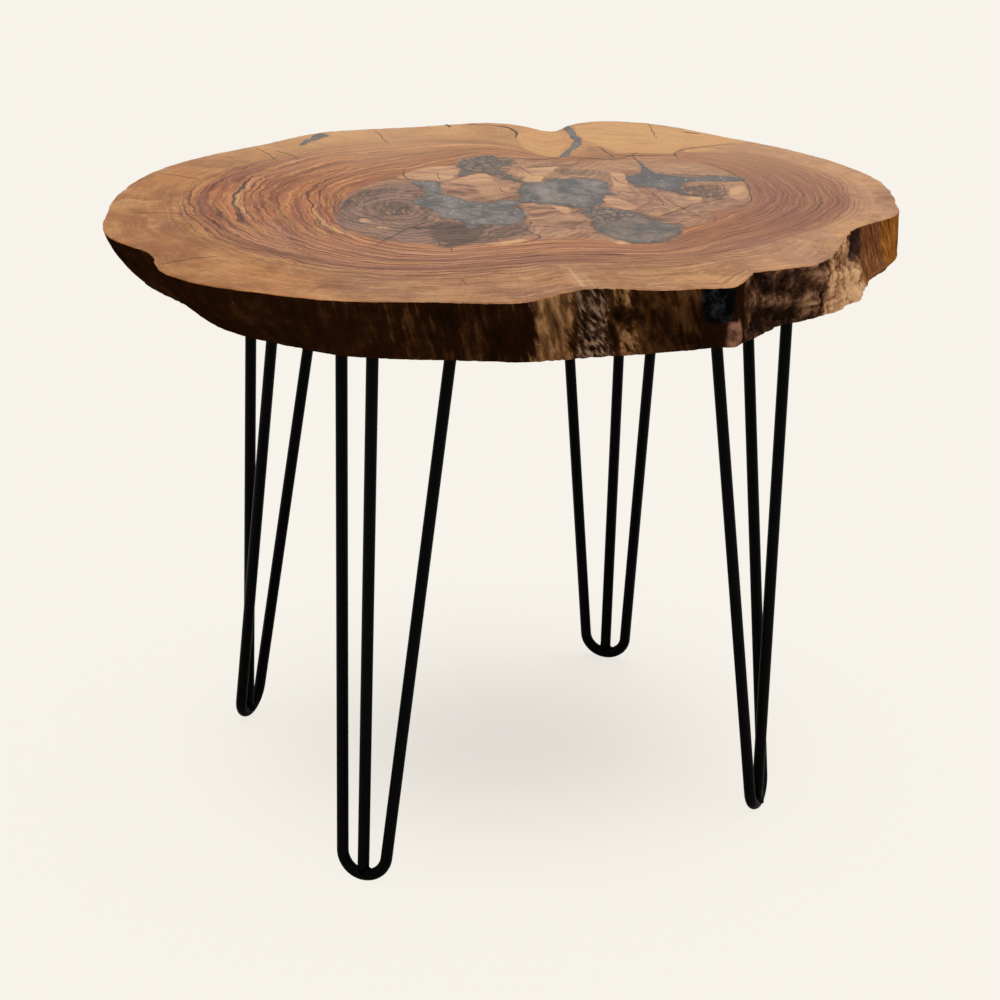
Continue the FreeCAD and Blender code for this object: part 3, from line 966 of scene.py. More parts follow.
TOP_PATCHES = (
    TopPatch("grey", (
        (-134, -15), (-122, 20), (-97, 46), (-60, 52), (-50, 8), (10, -8), (16, -60), (20, -92), (5, -98),
        (-10, -110), (-25, -120), (-45, -130), (-66, -122), (-85, -120), (-107, -111), (-127, -92),
        (-138, -58),
    ), 0.95, 11.0),
    TopPatch("grey", (
        (-46, 128), (-20, 137), (4, 128), (2, 104), (-4, 84), (12, 60), (4, 55), (-16, 76), (-44, 68),
    ), 0.9),
    TopPatch("grey", ((30, 104), (58, 108), (92, 96), (84, 66), (70, 80), (44, 80)), 0.6, 6.0),
    TopPatch("grey", ((96, 90), (112, 100), (186, 100), (186, 80), (146, 74), (146, 34), (96, 56)), 0.8, 5.0),
    TopPatch("grey", (
        (58, -10), (80, -4), (100, -14), (138, -46), (136, -74), (108, -106), (92, -104), (64, -70),
    ), 0.8, 5.0),
    TopPatch("grey", ((112, 46), (138, 34), (176, 20), (180, 50), (172, 74), (146, 62)), 0.62, 7.0),
    TopPatch("brown", (
        (-57, 44), (-57, 24), (-47, 10), (-33, 0), (-23, -6), (-12, -6), (-3, 5), (6, 15), (3, 23),
        (8, 43), (5, 50), (-5, 57), (-10, 50), (-23, 55), (-33, 50),
    ), 0.95, 4.0),
    TopPatch("smoke", ((-64, -66), (-42, -60), (-18, -70), (-22, -108), (-36, -122), (-58, -112)), 0.9, 9.0),
    TopPatch("smoke", ((-84, 54), (-58, 54), (-56, 30), (-74, 28)), 0.8, 5.0),
    TopPatch("bare", (
        (-34, 46), (-10, 48), (4, 44), (0, 26), (4, 14), (-8, 2), (-20, 2), (-28, 20),
    ), 0.55, 6.0),
    TopPatch("bare", (
        (-52, 50), (-43, 61), (-35, 72), (-27, 79), (-20, 80), (-15, 66), (-10, 52), (-23, 50), (-37, 47),
    )),
    TopPatch("bare", (
        (-95, 60), (-77, 88), (-60, 98), (-43, 102), (-43, 78), (-47, 64), (-58, 53), (-72, 56),
    ), 0.85, 4.0),
    TopPatch("bare", (
        (3, 94), (17, 102), (30, 107), (40, 110), (33, 90), (27, 76), (25, 60), (13, 58), (10, 66),
        (14, 74), (6, 78),
    )),
    TopPatch("brown", (
        (10, -4), (32, -2), (48, -10), (50, -20), (46, -30), (56, -38), (59, -56), (50, -70), (30, -64),
        (17, -52), (15, -33), (17, -24),
    ), 0.95, 4.0),
    TopPatch("bare", ((32, -5), (48, -12), (49, -20), (45, -30), (38, -18)), 1.0, 2.0),
    TopPatch("bare", ((77, 25), (82, 28), (90, 16), (100, 3), (102, -10), (93, -13), (80, -2), (76, 12))),
    TopPatch("bare", ((83, 98), (94, 94), (98, 74), (99, 56), (94, 38), (87, 37), (85, 56), (83, 76)), 0.8),
    TopPatch("bare", ((140, 33), (158, 32), (156, 14), (142, 12)), 0.7, 4.0),
    TopPatch("bare", ((178, 80), (192, 78), (197, 50), (192, 22), (178, 30), (180, 56)), 0.7, 4.0),
    TopPatch("bare", ((73, -90), (80, -88), (90, -100), (95, -106), (86, -108), (76, -98)), 0.9, 2.0),
    TopPatch("bare", ((-18, -117), (-5, -110), (10, -100), (16, -103), (8, -112), (-8, -121)), 0.8),
    TopPatch("bare", ((-118, -62), (-112, -60), (-107, -66), (-109, -74), (-116, -70)), 0.8, 2.0),
    TopPatch("bare", ((-106, -79), (-92, -82), (-90, -87), (-102, -86)), 0.8, 2.0),
    TopPatch("golden", (
        (58, 214), (64, 198), (80, 180), (90, 160), (140, 162), (147, 182), (205, 207), (180, 228),
        (120, 261), (75, 263), (54, 246),
    ), 0.9, 5.0),
    TopPatch("golden", (
        (2, 208), (10, 160), (28, 138), (42, 139), (48, 178), (43, 217), (24, 228),
    ), 0.8, 5.0),
    TopPatch("golden", ((147, 166), (188, 168), (190, 184), (168, 186), (148, 178)), 0.6, 6.0),
    TopPatch("golden", ((52, 146), (62, 148), (64, 174), (54, 170)), 0.5, 5.0),
    TopPatch("rusty", ((62, 144), (88, 141), (90, 156), (78, 178), (66, 182)), 0.8, 4.0),
    TopPatch("rusty", ((146, 146), (160, 148), (158, 170), (147, 168)), 0.8, 3.0),
    TopPatch("rusty", ((10, 118), (60, 124), (110, 138), (106, 150), (56, 142), (14, 134)), 0.7, 5.0),
    TopPatch("pale", ((44, -172), (47, -170), (59, -217), (55, -219)), 0.75, 2.5),
    TopPatch("pale", ((55, -184), (58, -183), (66, -217), (63, -219)), 0.6, 2.5),
    TopPatch("pale", ((31, -155), (60, -152), (64, -180), (58, -216), (48, -224), (38, -186)), 0.42, 8.0),
)


@dataclass(frozen=True)
class Swelling:
    """A round swelling of the slab's edge: its height in millimetres, its middle and its reach."""

    height: float
    bearing: float
    bearing_reach: float
    rise: float
    rise_reach: float

    def __call__(self, degrees: Array, rise: Array) -> Array:
        """Gives how far each place stands out: the height times e^-(a^2 + b^2) of the offsets a and b."""
        across, up = (degrees - self.bearing) / self.bearing_reach, (rise - self.rise) / self.rise_reach
        return self.height * np.exp(-across ** 2 - up ** 2)


@dataclass
class Slab:
    """The slice of trunk with its carved edge; lengths in millimetres, bearings in degrees."""

    around: int = 720
    top_rings: int = 78
    edge_rows: int = 48
    under_rings: int = 6
    round_over: float = 1.6
    sink: float = 0.25
    chamfer: float = 9.5
    burl_bearings: tuple[float, float] = (-46.0, -10.0)
    ridge_bearings: tuple[float, float] = (-83.0, -67.0)
    chamfer_bearings: tuple[float, float] = (-5.75, 37.0)
    close_bearings: tuple[float, float] = (-112.5, 11.0)
    knob: Swelling = Swelling(9.0, -49.9, 1.7, 0.18, 0.2)
    swell: Swelling = Swelling(8.0, -15.6, 3.4, 0.14, 0.32)
    left_heart: tuple[float, float] = (-93.0, -30.0)
    right_heart: tuple[float, float] = (162.0, 58.0)
    lobe_unit: float = 60.0
    node: str = "live_edge_slab"
    low: Array = field(init=False)
    high: Array = field(init=False)
    rim: PolarCurve = field(init=False)
    foot_rim: PolarCurve = field(init=False)

    def __post_init__(self) -> None:
        """Reads the slab's box from the frame and stretches the drawn rim to it."""
        self.low, self.high = (np.array(corner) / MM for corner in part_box(self.node))
        drawn = np.array(RIM, float)
        curve = closed_spline(drawn[:, :2])
        middle = (curve.max(axis=0) + curve.min(axis=0)) / 2
        stretch = (self.high - self.low)[:2] / np.ptp(curve, axis=0)
        flat = (drawn[:, :2] - middle) * stretch
        inner = flat * (1 - drawn[:, 2:] / np.linalg.norm(flat, axis=1)[:, None])
        self.rim, self.foot_rim = PolarCurve.through(flat), PolarCurve.through(inner)

    @property
    def top(self) -> float:
        """The height of the top."""
        return self.high[2]

    @property
    def deep(self) -> float:
        """The slab's thickness."""
        return self.high[2] - self.low[2]

    def bearings(self) -> Array:
        """Gives the corners' bearings, closer together along the front and the burl."""
        grid = np.linspace(-math.pi, math.pi, 4001)
        close = 1 + 1.4 * between(np.degrees(grid), *self.close_bearings, 12.5, 9)
        gone = np.concatenate([[0], np.cumsum((close[1:] + close[:-1]) / 2)])
        return np.interp(np.linspace(0, gone[-1], self.around, endpoint=False), gone, grid)

    def carved(self, bearing: Array, rise: Array) -> tuple[Array, Array]:
        """Gives how deep the edge is carved, and how far each place stands out.

        A crease is (1 - |noise|)^2, which leaves lumps with sharp folds between them. The burl
        has broad and small lumps, wider than tall; the rest has upright fibres and slow waves.
        A knob stands out to the left of the burl, and a swell low on its right.

        Args:
            bearing: radians.
            rise: 0 at the underside, 1 at the top.

        Returns:
            Depths in millimetres, about 0, and values from 0 in the creases to 1 on the lumps.
        """
        turn, height = bearing / (2 * math.pi), rise * self.deep
        degrees = np.degrees(bearing)

        def crease(seed: int, columns: int, tall: float, slant: float = 0.0) -> Array:
            noise = ValueNoise(seed, columns)(turn * columns + slant * height, height / tall + 7)
            return (1 - np.abs(noise)) ** 2 - 0.42

        burl = between(degrees, *self.burl_bearings, 3, 4)
        ridge = between(degrees, *self.ridge_bearings, 3, 3)
        wave = ValueNoise(13, 34)(turn * 34, height / 45)
        fibres = (1.0 + 1.6 * ridge) * crease(7, 330, 50, 0.03)
        sway = ValueNoise(17, 52)(turn * 52, np.zeros_like(turn))
        folds = np.cos(2 * math.pi * (1.8 * rise + 0.9 * sway))
        drawn = crease(19, 64, 8, 0.02) + 0.6 * crease(23, 110, 5, -0.03)
        broad, small, tiny = crease(3, 46, 19), crease(5, 150, 9), crease(9, 310, 5)
        lumps = 3.4 * broad + 2.2 * drawn + 1.5 * small + 1.0 * tiny + 1.2 * folds
        calm = 0.45 + 0.55 * np.sqrt(np.sin(math.pi * np.clip(rise, 0.03, 0.97)))
        close, slow = ValueNoise(11, 170)(turn * 170, height / 30), ValueNoise(12, 70)(turn * 70, height / 60)
        flutes = (0.5 + 0.9 * burl) * (close + slow)
        depth = 0.8 * wave + fibres + flutes + burl * lumps * calm
        depth = depth - self.knob(degrees, rise) - self.swell(degrees, rise)
        return depth, np.clip(0.5 - depth / (5 + 6 * burl), 0, 1)

    def edge_radius(self, bearing: Array, rise: Array) -> Array:
        """Gives the edge's radius in millimetres at a bearing and a share of the height.

        The undercut follows 1 - 1.6 v + 0.6 v^2 of the rise v; a chamfer low on the right end and
        the carved depth come off it.

        Args:
            bearing: radians.
            rise: 0 at the underside, 1 at the top.

        Returns:
            The radii.
        """
        top, foot = self.rim(bearing), self.foot_rim(bearing)
        ends = between(np.degrees(bearing), *self.chamfer_bearings, 3.75, 11)
        chamfer = self.chamfer * ends * smooth(0.26, 0.0, rise)
        undercut = 1 - 1.6 * rise + 0.6 * rise ** 2
        return top + (foot - top) * undercut - chamfer - self.carved(bearing, rise)[0]

    def rings(self, x: Array, y: Array, rim: Array) -> Array:
        """Gives the growth-ring value: 0 to 1 in the heart, to 2 in the red wood, to 3 at the rim."""
        bearing, radius = np.arctan2(y, x), np.hypot(x, y)
        heart, red = (PolarCurve.of_bearings(edge)(bearing) for edge in (STAIN_EDGE, HEARTWOOD_EDGE))
        red = np.maximum(red, heart + 5)
        inner = radius / heart
        middle = 1 + (radius - heart) / (red - heart)
        outer = 2 + (radius - red) / np.maximum(rim - red, 5)
        return np.where(radius < heart, inner, np.where(radius < red, middle, outer))

    def lobe(self, x: Array, y: Array) -> Array:
        """Gives the distance to the nearer heart, in lobe units."""
        left = np.hypot(x - self.left_heart[0], y - self.left_heart[1])
        right = np.hypot(x - self.right_heart[0], y - self.right_heart[1])
        return np.minimum(left, right) / self.lobe_unit

    def build(self) -> bpy.types.Object:
        """Makes the slab as rings of corners: out over the top, down the edge, and in under it.

        Returns:
            The slab's object.
        """
        bearing = self.bearings()
        top, bottom, ease = self.top - self.sink, self.low[2], self.round_over
        rim = self.edge_radius(bearing, np.ones_like(bearing))
        share = np.linspace(0, 1, self.top_rings + 1)[1:, None]
        over_angle = np.radians([30.0, 60.0])[:, None]
        rise = np.linspace(1 - ease / self.deep, ease / self.deep, self.edge_rows)[:, None]
        turn = np.broadcast_to(bearing, (self.edge_rows, self.around))
        edge = self.edge_radius(turn, np.broadcast_to(rise, turn.shape))
        foot = edge[-1]
        under = np.linspace(1, 0, self.under_rings + 1)[:-1, None]
        radius = np.concatenate([
            share * (rim - ease), rim - ease + ease * np.sin(over_angle), edge,
            foot - ease + ease * np.cos(over_angle), under * (foot - ease),
        ])
        height = np.concatenate([
            np.full((self.top_rings, 1), top), top - ease + ease * np.cos(over_angle),
            bottom + rise * (self.deep - self.sink), bottom + ease - ease * np.sin(over_angle),
            np.full((self.under_rings, 1), bottom),
        ])
        x = np.clip(radius * np.cos(bearing), self.low[0], self.high[0])
        y = np.clip(radius * np.sin(bearing), self.low[1], self.high[1])
        z = np.broadcast_to(height, x.shape)
        count = len(radius)
        points = np.stack([x, y, z], axis=-1).reshape(-1, 3)
        points = np.concatenate([points, [[0, 0, top], [0, 0, bottom]]]) * MM
        wall = grid_quads(count, self.around, wrap_columns=True)
        step, after = np.arange(self.around), (np.arange(self.around) + 1) % self.around
        hub = np.full(self.around, count * self.around)
        last = (count - 1) * self.around
        middle = np.stack([hub, after, step, step], axis=1)
        under_middle = np.stack([hub + 1, last + step, last + after, last + after], axis=1)
        faces = np.concatenate([wall, middle, under_middle])
        row = np.concatenate([wall[:, 0] // self.around, np.zeros(self.around), np.full(self.around, count)])
        slots = np.where(row < self.top_rings + 1, 0, np.where(row < count - self.under_rings - 1, 1, 2))
        finishes = [finish.material() for finish in (Finish.TOP, Finish.EDGE, Finish.UNDERSIDE)]
        values = self.values(x, y, z, bearing, rim)
        return add_mesh("slab_wood", points, outward(points, faces), finishes, slots, values)

    def values(self, x: Array, y: Array, z: Array, bearing: Array, rim: Array) -> dict[str, Array]:
        """Gives the corner values that the slab's finishes read.

        Args:
            x, y, z: the rings of corners, in millimetres.
            bearing: each column's bearing.
            rim: the rim's radius at each bearing.

        Returns:
            The values by name, with the two hub corners at the end.
        """
        turn = np.broadcast_to(bearing, x.shape)
        rise = (z - self.low[2]) / self.deep
        made = {
            "ring": self.rings(x, y, np.broadcast_to(rim, x.shape)), "lobe": self.lobe(x, y),
            "relief": self.carved(turn, rise)[1],
        }
        for patches, places in ((TOP_PATCHES, (x, y)), (EDGE_PATCHES, (turn, rise))):
            for kind in sorted({patch.kind for patch in patches}):
                made[kind] = np.max([patch.cover(*places) for patch in patches if patch.kind == kind], axis=0)
        near = np.min([outline_distance(x, y, pool.outline) for pool in POOLS if not pool.at_rim], axis=0)
        made["grey"] = np.maximum(made["grey"], 0.7 * np.exp(-np.maximum(near, 0) / 5))
        return {name: np.concatenate([value.ravel(), [0.0, 0.0]]) for name, value in made.items()}


@dataclass(frozen=True)
class Pool:
    """One resin fill: the node that it stands for and its outline in plan; lengths in millimetres."""

    node: str
    outline: Points
    finish: Finish = Finish.RESIN
    ragged: float = 2.2
    at_rim: bool = False
    pitch: float = 1.0
    margin: float = 8.0
    rim_gap: float = 1.2
    rim_depth: float = 4.0
    sink: float = 0.1
    shore: float = 9.0

    def distance(self, slab: Slab, x: Array, y: Array) -> Array:
        """Gives the distance to the ragged outline, minus inside it, held back from the slab's rim."""
        coarse = ValueNoise(21)(x / 7 + 40, y / 7 + 40)
        fine = ValueNoise(22)(x / 2.6 + 40, y / 2.6 + 40)
        ragged = outline_distance(x, y, self.outline) + self.ragged * coarse + 0.4 * self.ragged * fine
        past_rim = np.hypot(x, y) - slab.edge_radius(np.arctan2(y, x), np.ones_like(x))
        return np.maximum(ragged, past_rim + self.rim_gap)

    def build(self, slab: Slab) -> bpy.types.Object:
        """Makes the fill as a block of grid cells whose border is drawn onto the ragged outline.

        A cell is kept where the distance F to the ragged outline is below 0 at its middle, and each
        corner on the border moves by -F grad F / |grad F|^2 onto the line F = 0.

        Args:
            slab: the slab it lies in.

        Returns:
            The fill's object.
        """
        low, high = (np.array(corner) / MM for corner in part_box(self.node))
        first, last = low - self.margin, high + self.margin
        x, y = np.meshgrid(*(np.arange(first[way], last[way], self.pitch) for way in (0, 1)), indexing="ij")
        away = self.distance(slab, x, y)
        middle = (away[1:, 1:] + away[:-1, 1:] + away[1:, :-1] + away[:-1, :-1]) / 4
        kept = np.pad(middle < 0, 1)
        touching = np.stack([kept[:-1, :-1], kept[1:, :-1], kept[:-1, 1:], kept[1:, 1:]])
        border = touching.any(axis=0) & ~touching.all(axis=0)
        slope_x, slope_y = np.gradient(away, self.pitch)
        shift = np.where(border, away / np.maximum(slope_x ** 2 + slope_y ** 2, 0.2), 0)
        limit = 0.9 * self.pitch
        x = x - np.clip(shift * slope_x, -limit, limit)
        y = y - np.clip(shift * slope_y, -limit, limit)
        total = x.size
        number = np.arange(total).reshape(x.shape)
        i, j = np.nonzero(kept[1:-1, 1:-1])
        lid = np.stack([number[i, j], number[i + 1, j], number[i + 1, j + 1], number[i, j + 1]], axis=1)
        start = lid.T.ravel()
        end = np.roll(lid, -1, axis=1).T.ravel()
        open_edge = ~np.isin(start * total + end, end * total + start)
        start, end = start[open_edge], end[open_edge]
        wall = np.stack([end, start, start + total, end + total], axis=1)
        faces = np.concatenate([lid, lid[:, ::-1] + total, wall])
        levels = high[2] - self.sink, high[2] - self.rim_depth if self.at_rim else low[2]
        points = np.concatenate([np.column_stack([x.ravel(), y.ravel(), np.full(total, z)]) for z in levels])
        used, renumbered = np.unique(faces, return_inverse=True)
        faces = renumbered.reshape(faces.shape)
        values = {"shore": smooth(-self.shore, 0, away), "milk": MILKY.cover(x, y)}
        values = {name: np.tile(value.ravel(), 2)[used] for name, value in values.items()}
        finishes = [self.finish.material()]
        made = add_mesh(f"{self.node}_fill", points[used] * MM, faces, finishes, attributes=values)
        made.data.polygons.foreach_set("use_smooth", np.arange(len(faces)) >= 2 * len(lid))
        return made


MILKY = TopPatch("milk", ((20, 46), (31, 48), (34, 4), (24, 0)), 1.0, 4.0)

POOLS = (
    Pool("left_heart_resin", (
        (-57, 50), (-57, 17), (-43, 7), (-30, -3), (-18, -7), (-7, 0), (4, 6), (9, 0), (4, -10), (3, -18),
        (13, -23), (14, -37), (10, -58), (0, -71), (-7, -67), (-23, -67), (-25, -95), (-30, -110),
        (-32, -95), (-33, -67), (-43, -55), (-57, -50), (-60, -33), (-67, -25), (-75, -17), (-78, -5),
        (-70, 3), (-67, 17), (-72, 33), (-80, 43), (-83, 50), (-70, 51),
    )),
    Pool("centre_heart_resin", (
        (5, 8), (10, 17), (4, 27), (8, 43), (11, 57), (27, 60), (32, 70), (40, 73), (48, 72), (53, 76),
        (63, 77), (73, 72), (80, 65), (80, 38), (87, 30), (80, 29), (76, 22), (76, 12), (73, -2), (67, -8),
        (53, -13), (48, -8), (35, -3), (25, -2), (16, 0), (9, -2),
    )),
    Pool("lower_right_resin", (
        (60, -13), (73, -7), (87, -12), (97, -18), (110, -35), (123, -47), (136, -50), (136, -62),
        (132, -77), (123, -95), (107, -103), (95, -102), (82, -90), (70, -80), (67, -68), (68, -53),
        (65, -37), (57, -23),
    ), Finish.CRUMBLED, 3.0),
    Pool("right_branch_resin", (
        (97, 87), (103, 92), (109, 97), (110, 110), (109, 127), (108, 138), (112, 123), (116, 107),
        (120, 98), (133, 95), (145, 89), (153, 87), (160, 92), (168, 94), (183, 94), (195, 91), (194, 84),
        (183, 83), (173, 80), (157, 79), (144, 77), (142, 65), (140, 53), (144, 48), (144, 38), (140, 35),
        (137, 47), (128, 47), (123, 52), (112, 56), (103, 60), (97, 67), (96, 77),
    ), Finish.CLEAR, 1.4),
    Pool("upper_left_resin", (
        (-43, 102), (-40, 120), (-35, 125), (-23, 135), (-17, 135), (-8, 123), (3, 125), (4, 112),
        (-3, 102), (-8, 95), (-3, 78), (7, 65), (10, 57), (5, 57), (-5, 67), (-13, 78), (-23, 83),
        (-33, 82), (-40, 70), (-43, 70), (-42, 83),
    ), Finish.DUSTY, 4.0),
    Pool("rear_notch_resin", (
        (42, 250), (49, 213), (54, 195), (51, 178), (47, 160), (42, 142), (48, 140), (51, 158), (60, 180),
        (62, 198), (56, 214), (50, 250),
    ), ragged=1.0, at_rim=True),
    Pool("rear_left_resin", (
        (-183, 149), (-179, 165), (-174, 173), (-171, 187), (-165, 193), (-156, 184), (-163, 176),
        (-171, 164), (-178, 150),
    ), ragged=1.2, at_rim=True),
)


@dataclass(frozen=True)
class Check:
    """One drying crack: the points that it runs through and its widest, in millimetres."""

    points: Points
    width: float = 1.3


CHECKS = tuple(Check(points, width) for width, *points in (
    (1.3, (-59, -57), (-77, -82), (-92, -110), (-102, -133)),
    (1.4, (3, -63), (20, -87), (25, -95), (16, -108)),
    (1.4, (-54, -107), (-53, -124)), (1.2, (-43, -128), (-42, -141)), (1.4, (-87, 84), (-89, 68), (-83, 50)),
    (1.2, (-74, 36), (-72, 22)), (0.9, (-62, 78), (-58, 56)), (1.3, (-22, 142), (-17, 120), (-18, 95)),
    (1.6, (-35, 122), (-32, 108), (-18, 90), (-5, 75), (10, 60)), (0.9, (-133, -68), (-120, -60), (-93, -48)),
    (1.0, (-125, 5), (-132, -17), (-133, -36)), (0.9, (-138, -8), (-140, -30), (-134, -56)),
    (1.4, (63, -28), (73, -42), (83, -62), (95, -95), (97, -110)), (1.2, (77, -7), (93, -27), (103, -42)),
    (1.2, (117, -32), (133, -13), (148, 8), (172, 28)), (1.0, (125, 23), (135, 5), (147, -17), (154, -28)),
    (1.0, (113, 45), (120, 27), (125, 3)), (0.9, (112, 0), (124, 5)),
    (1.3, (160, 140), (173, 125), (188, 102), (195, 77), (197, 47), (195, 22), (183, 3)),
    (1.0, (175, 75), (177, 50), (171, 28)), (2.0, (47, 142), (73, 137), (93, 142), (108, 162)),
    (1.8, (43, 138), (27, 131), (-10, 132)), (1.6, (86, 151), (112, 153), (141, 158)),
    (1.2, (141, 158), (143, 171), (160, 185), (196, 205)), (1.5, (74, 176), (80, 165), (89, 140)),
    (1.4, (103, 152), (106, 140), (110, 126)), (1.0, (140, 166), (142, 142)),
    (1.0, (-120, 207), (-112, 185), (-106, 165)), (1.1, (-218, 140), (-205, 120), (-196, 100)),
    (1.0, (-200, 132), (-186, 118), (-178, 108)), (1.0, (-290, 52), (-270, 43), (-252, 34)),
    (1.1, (-296, -66), (-270, -62), (-240, -68)), (1.2, (-258, -196), (-242, -182), (-216, -170)),
    (1.1, (-34, -206), (-29, -220)), (0.9, (120, 262), (124, 235), (126, 210)),
    (3.4, (-18, 237), (-4, 230), (3, 218), (4, 196)), (2.8, (-58, 236), (-54, 226)),
    (2.0, (-40, 236), (-18, 237)), (3.0, (150, 236), (158, 232), (166, 230)),
    (1.0, (96, 60), (88, 72), (86, 86)), (1.1, (60, 136), (52, 118), (30, 108), (10, 104)),
    (1.0, (5, 108), (12, 94), (20, 80)), (0.9, (-8, 44), (-7, 30), (-3, 26)),
    (0.8, (-40, -76), (-62, -82), (-88, -76)), (3.0, (16, -56), (18, -59)), (1.6, (-35, 42), (-34, 40)),
))


def build_checks(slab: Slab) -> bpy.types.Object:
    """Makes all drying cracks as wedges: two edges on the wood and a keel below, closed at the tips.

    Half the width follows sqrt(sin(pi s)) along each crack, jittered by noise.

    Args:
        slab: the slab that they run in.

    Returns:
        The cracks' object.
    """
    stations, sink, keel_depth, jitter = 40, 0.14, 3.0, ValueNoise(31)
    share = np.linspace(0, 1, stations)
    all_points, all_faces, start = [], [], 0
    for number, check in enumerate(CHECKS):
        line = path_points(check.points, stations)
        length = np.linalg.norm(np.diff(line, axis=0), axis=1).sum()
        along = np.gradient(line, axis=0)
        along /= np.linalg.norm(along, axis=1)[:, None]
        side = np.stack([-along[:, 1], along[:, 0]], axis=1)
        seed = np.full(stations, 3.7 * number)
        line = line + side * (0.9 * jitter(share * length / 6, seed))[:, None]
        half = 0.4 * check.width * np.sqrt(np.sin(math.pi * np.clip(share, 0.002, 0.998)))
        half = half * (1 + 0.45 * jitter(share * length / 3 + 20, seed))
        lips = (line + side * half[:, None], line - side * half[:, None])
        brink, floor = np.full(stations, slab.top - sink), np.full(stations, slab.top - keel_depth)
        corners = [*(np.column_stack([lip, brink]) for lip in lips), np.column_stack([line, floor])]
        ring = np.stack(corners, axis=1).reshape(-1, 3)
        faces = grid_quads(stations, 3, wrap_columns=True)
        last = 3 * (stations - 1)
        caps = np.array([[0, 1, 2, 2], [last, last + 2, last + 1, last + 1]])
        all_faces.append(outward(ring, np.concatenate([faces, caps])) + start)
        all_points.append(ring)
        start += len(ring)
    points, faces = np.concatenate(all_points) * MM, np.concatenate(all_faces)
    return add_mesh("drying_checks", points, faces, [Finish.CHECK.material()])


# The legs


@dataclass
class HairpinLeg:
    """One three-rod leg, drawn with its foot at the origin and then turned and placed."""

    name: str
    foot: tuple[float, float]
    turn: float
    rod: float = 9.5
    bend: float = 19.0
    spread: float = 92.0
    lean: float = 51.5
    third_lean: float = 4.0
    plate_underside: float = 453.0

    def place(self, points: Array) -> Array:
        """Turns points about the vertical, moves them to the foot and gives metres."""
        angle = math.radians(self.turn)
        cos, sin = math.cos(angle), math.sin(angle)
        spin = np.array([[cos, sin, 0], [-sin, cos, 0], [0, 0, 1]])
        return (points @ spin + np.array([*self.foot, 0])) * MM

    def u_path(self) -> Array:
        """Gives the U rod's centre line: a shank, the foot bend and a shank, all in one leaning plane.

        The shanks run from the plate to where they touch the bend's circle.
        """
        half, radius = self.spread / 2, self.rod / 2
        climb = self.plate_underside - radius
        slope = math.hypot(self.lean, climb)
        reach = math.hypot(half, slope - self.bend)
        touch = math.atan2(slope - self.bend, half) - math.acos(self.bend / reach)
        turn = np.linspace(touch, -math.pi - touch, 40)
        arc = np.stack([self.bend * np.cos(turn), self.bend + self.bend * np.sin(turn)], axis=1)
        up = np.linspace(1, 0, 24, endpoint=False)[:, None]
        right = arc[0] + up * (np.array([half, slope]) - arc[0])
        left = (arc[-1] + up * (np.array([-half, slope]) - arc[-1]))[::-1]
        flat = np.concatenate([right, arc, left])
        across, along = flat[:, 0], flat[:, 1]
        return np.stack([across, along * self.lean / slope, radius + along * climb / slope], axis=1)

    def rod_tops(self) -> list[tuple[float, float]]:
        """Gives each rod's middle at the plate, in plan."""
        return [(self.spread / 2, self.lean), (-self.spread / 2, self.lean), (0.0, self.third_lean)]

    def build_rods(self) -> list[bpy.types.Object]:
        """Makes the U rod and the third rod as tubes, cut off at the plate."""
        radius, ceiling = self.rod / 2, self.plate_underside
        rise = np.linspace(self.rod * 0.72, ceiling, 30)
        share = (rise - radius) / (ceiling - radius)
        # A bow of a thousandth of a millimetre gives the straight rod's path a plane
        bow = 0.001 * np.sin(math.pi * share)
        third_path = np.stack([bow, self.third_lean * share, rise], axis=1)
        made = []
        for node, path in (("u_rod", self.u_path()), ("third_rod", third_path)):
            points, faces = tube(path, radius)
            points[:, 2] = np.minimum(points[:, 2], ceiling)
            tube_name = f"{self.name}_{node}_tube"
            made.append(add_mesh(tube_name, self.place(points), faces, [Finish.ROD.material()]))
        return made

    def build_welds(self) -> bpy.types.Object:
        """Makes a rippled bead round each rod at the plate and a low one round the joint at the foot.

        A bead is a ring of circles, its thickness swelling by 1 + 0.16 sin(11 u) round the rod. At
        the foot its height follows the joint of two crossing rods, R |cos u| + (R cos u)^2 / 2 bend.

        Returns:
            The beads' object.
        """
        around, sides, radius = 66, 12, self.rod / 2
        u, v = np.meshgrid(
            *(np.linspace(0, 2 * math.pi, count, endpoint=False) for count in (around, sides)), indexing="ij",
        )
        swell = 1 + 0.16 * np.sin(11 * u) + 0.08 * np.sin(5 * u + 1)
        joint = radius + radius * np.abs(np.cos(u)) + (radius * np.cos(u)) ** 2 / (2 * self.bend)
        beads = [(x, y, np.full_like(u, self.plate_underside - 0.9), 1.9) for x, y in self.rod_tops()]
        beads.append((0.0, 0.1, joint + 0.3, 1.1))
        all_points, all_faces = [], []
        for number, (x, y, z, width) in enumerate(beads):
            thick = width * swell
            reach = radius + 0.25 + thick * np.cos(v)
            ring = np.stack([x + reach * np.cos(u), y + reach * np.sin(u), z + thick * np.sin(v)], axis=-1)
            ring[..., 2] = np.minimum(ring[..., 2], self.plate_underside)
            points = ring.reshape(-1, 3)
            all_faces.append(outward(points, grid_quads(around, sides, True, True)) + number * around * sides)
            all_points.append(points)
        placed = self.place(np.concatenate(all_points))
        return add_mesh(f"{self.name}_weld_beads", placed, np.concatenate(all_faces), [Finish.ROD.material()])

    def dress(self) -> None:
        """Builds the leg's pieces and paints its plate and screws."""
        u_rod, third_rod = self.build_rods()
        welds = self.build_welds()
        for piece, node in ((u_rod, "u_rod"), (third_rod, "third_rod"), (welds, "welds")):
            settle(piece, "black_paint", f"{self.name}_{node}")
        paint(f"{self.name}_mounting_plate", Finish.PLATE)
        paint(f"{self.name}_screws", Finish.SCREW)


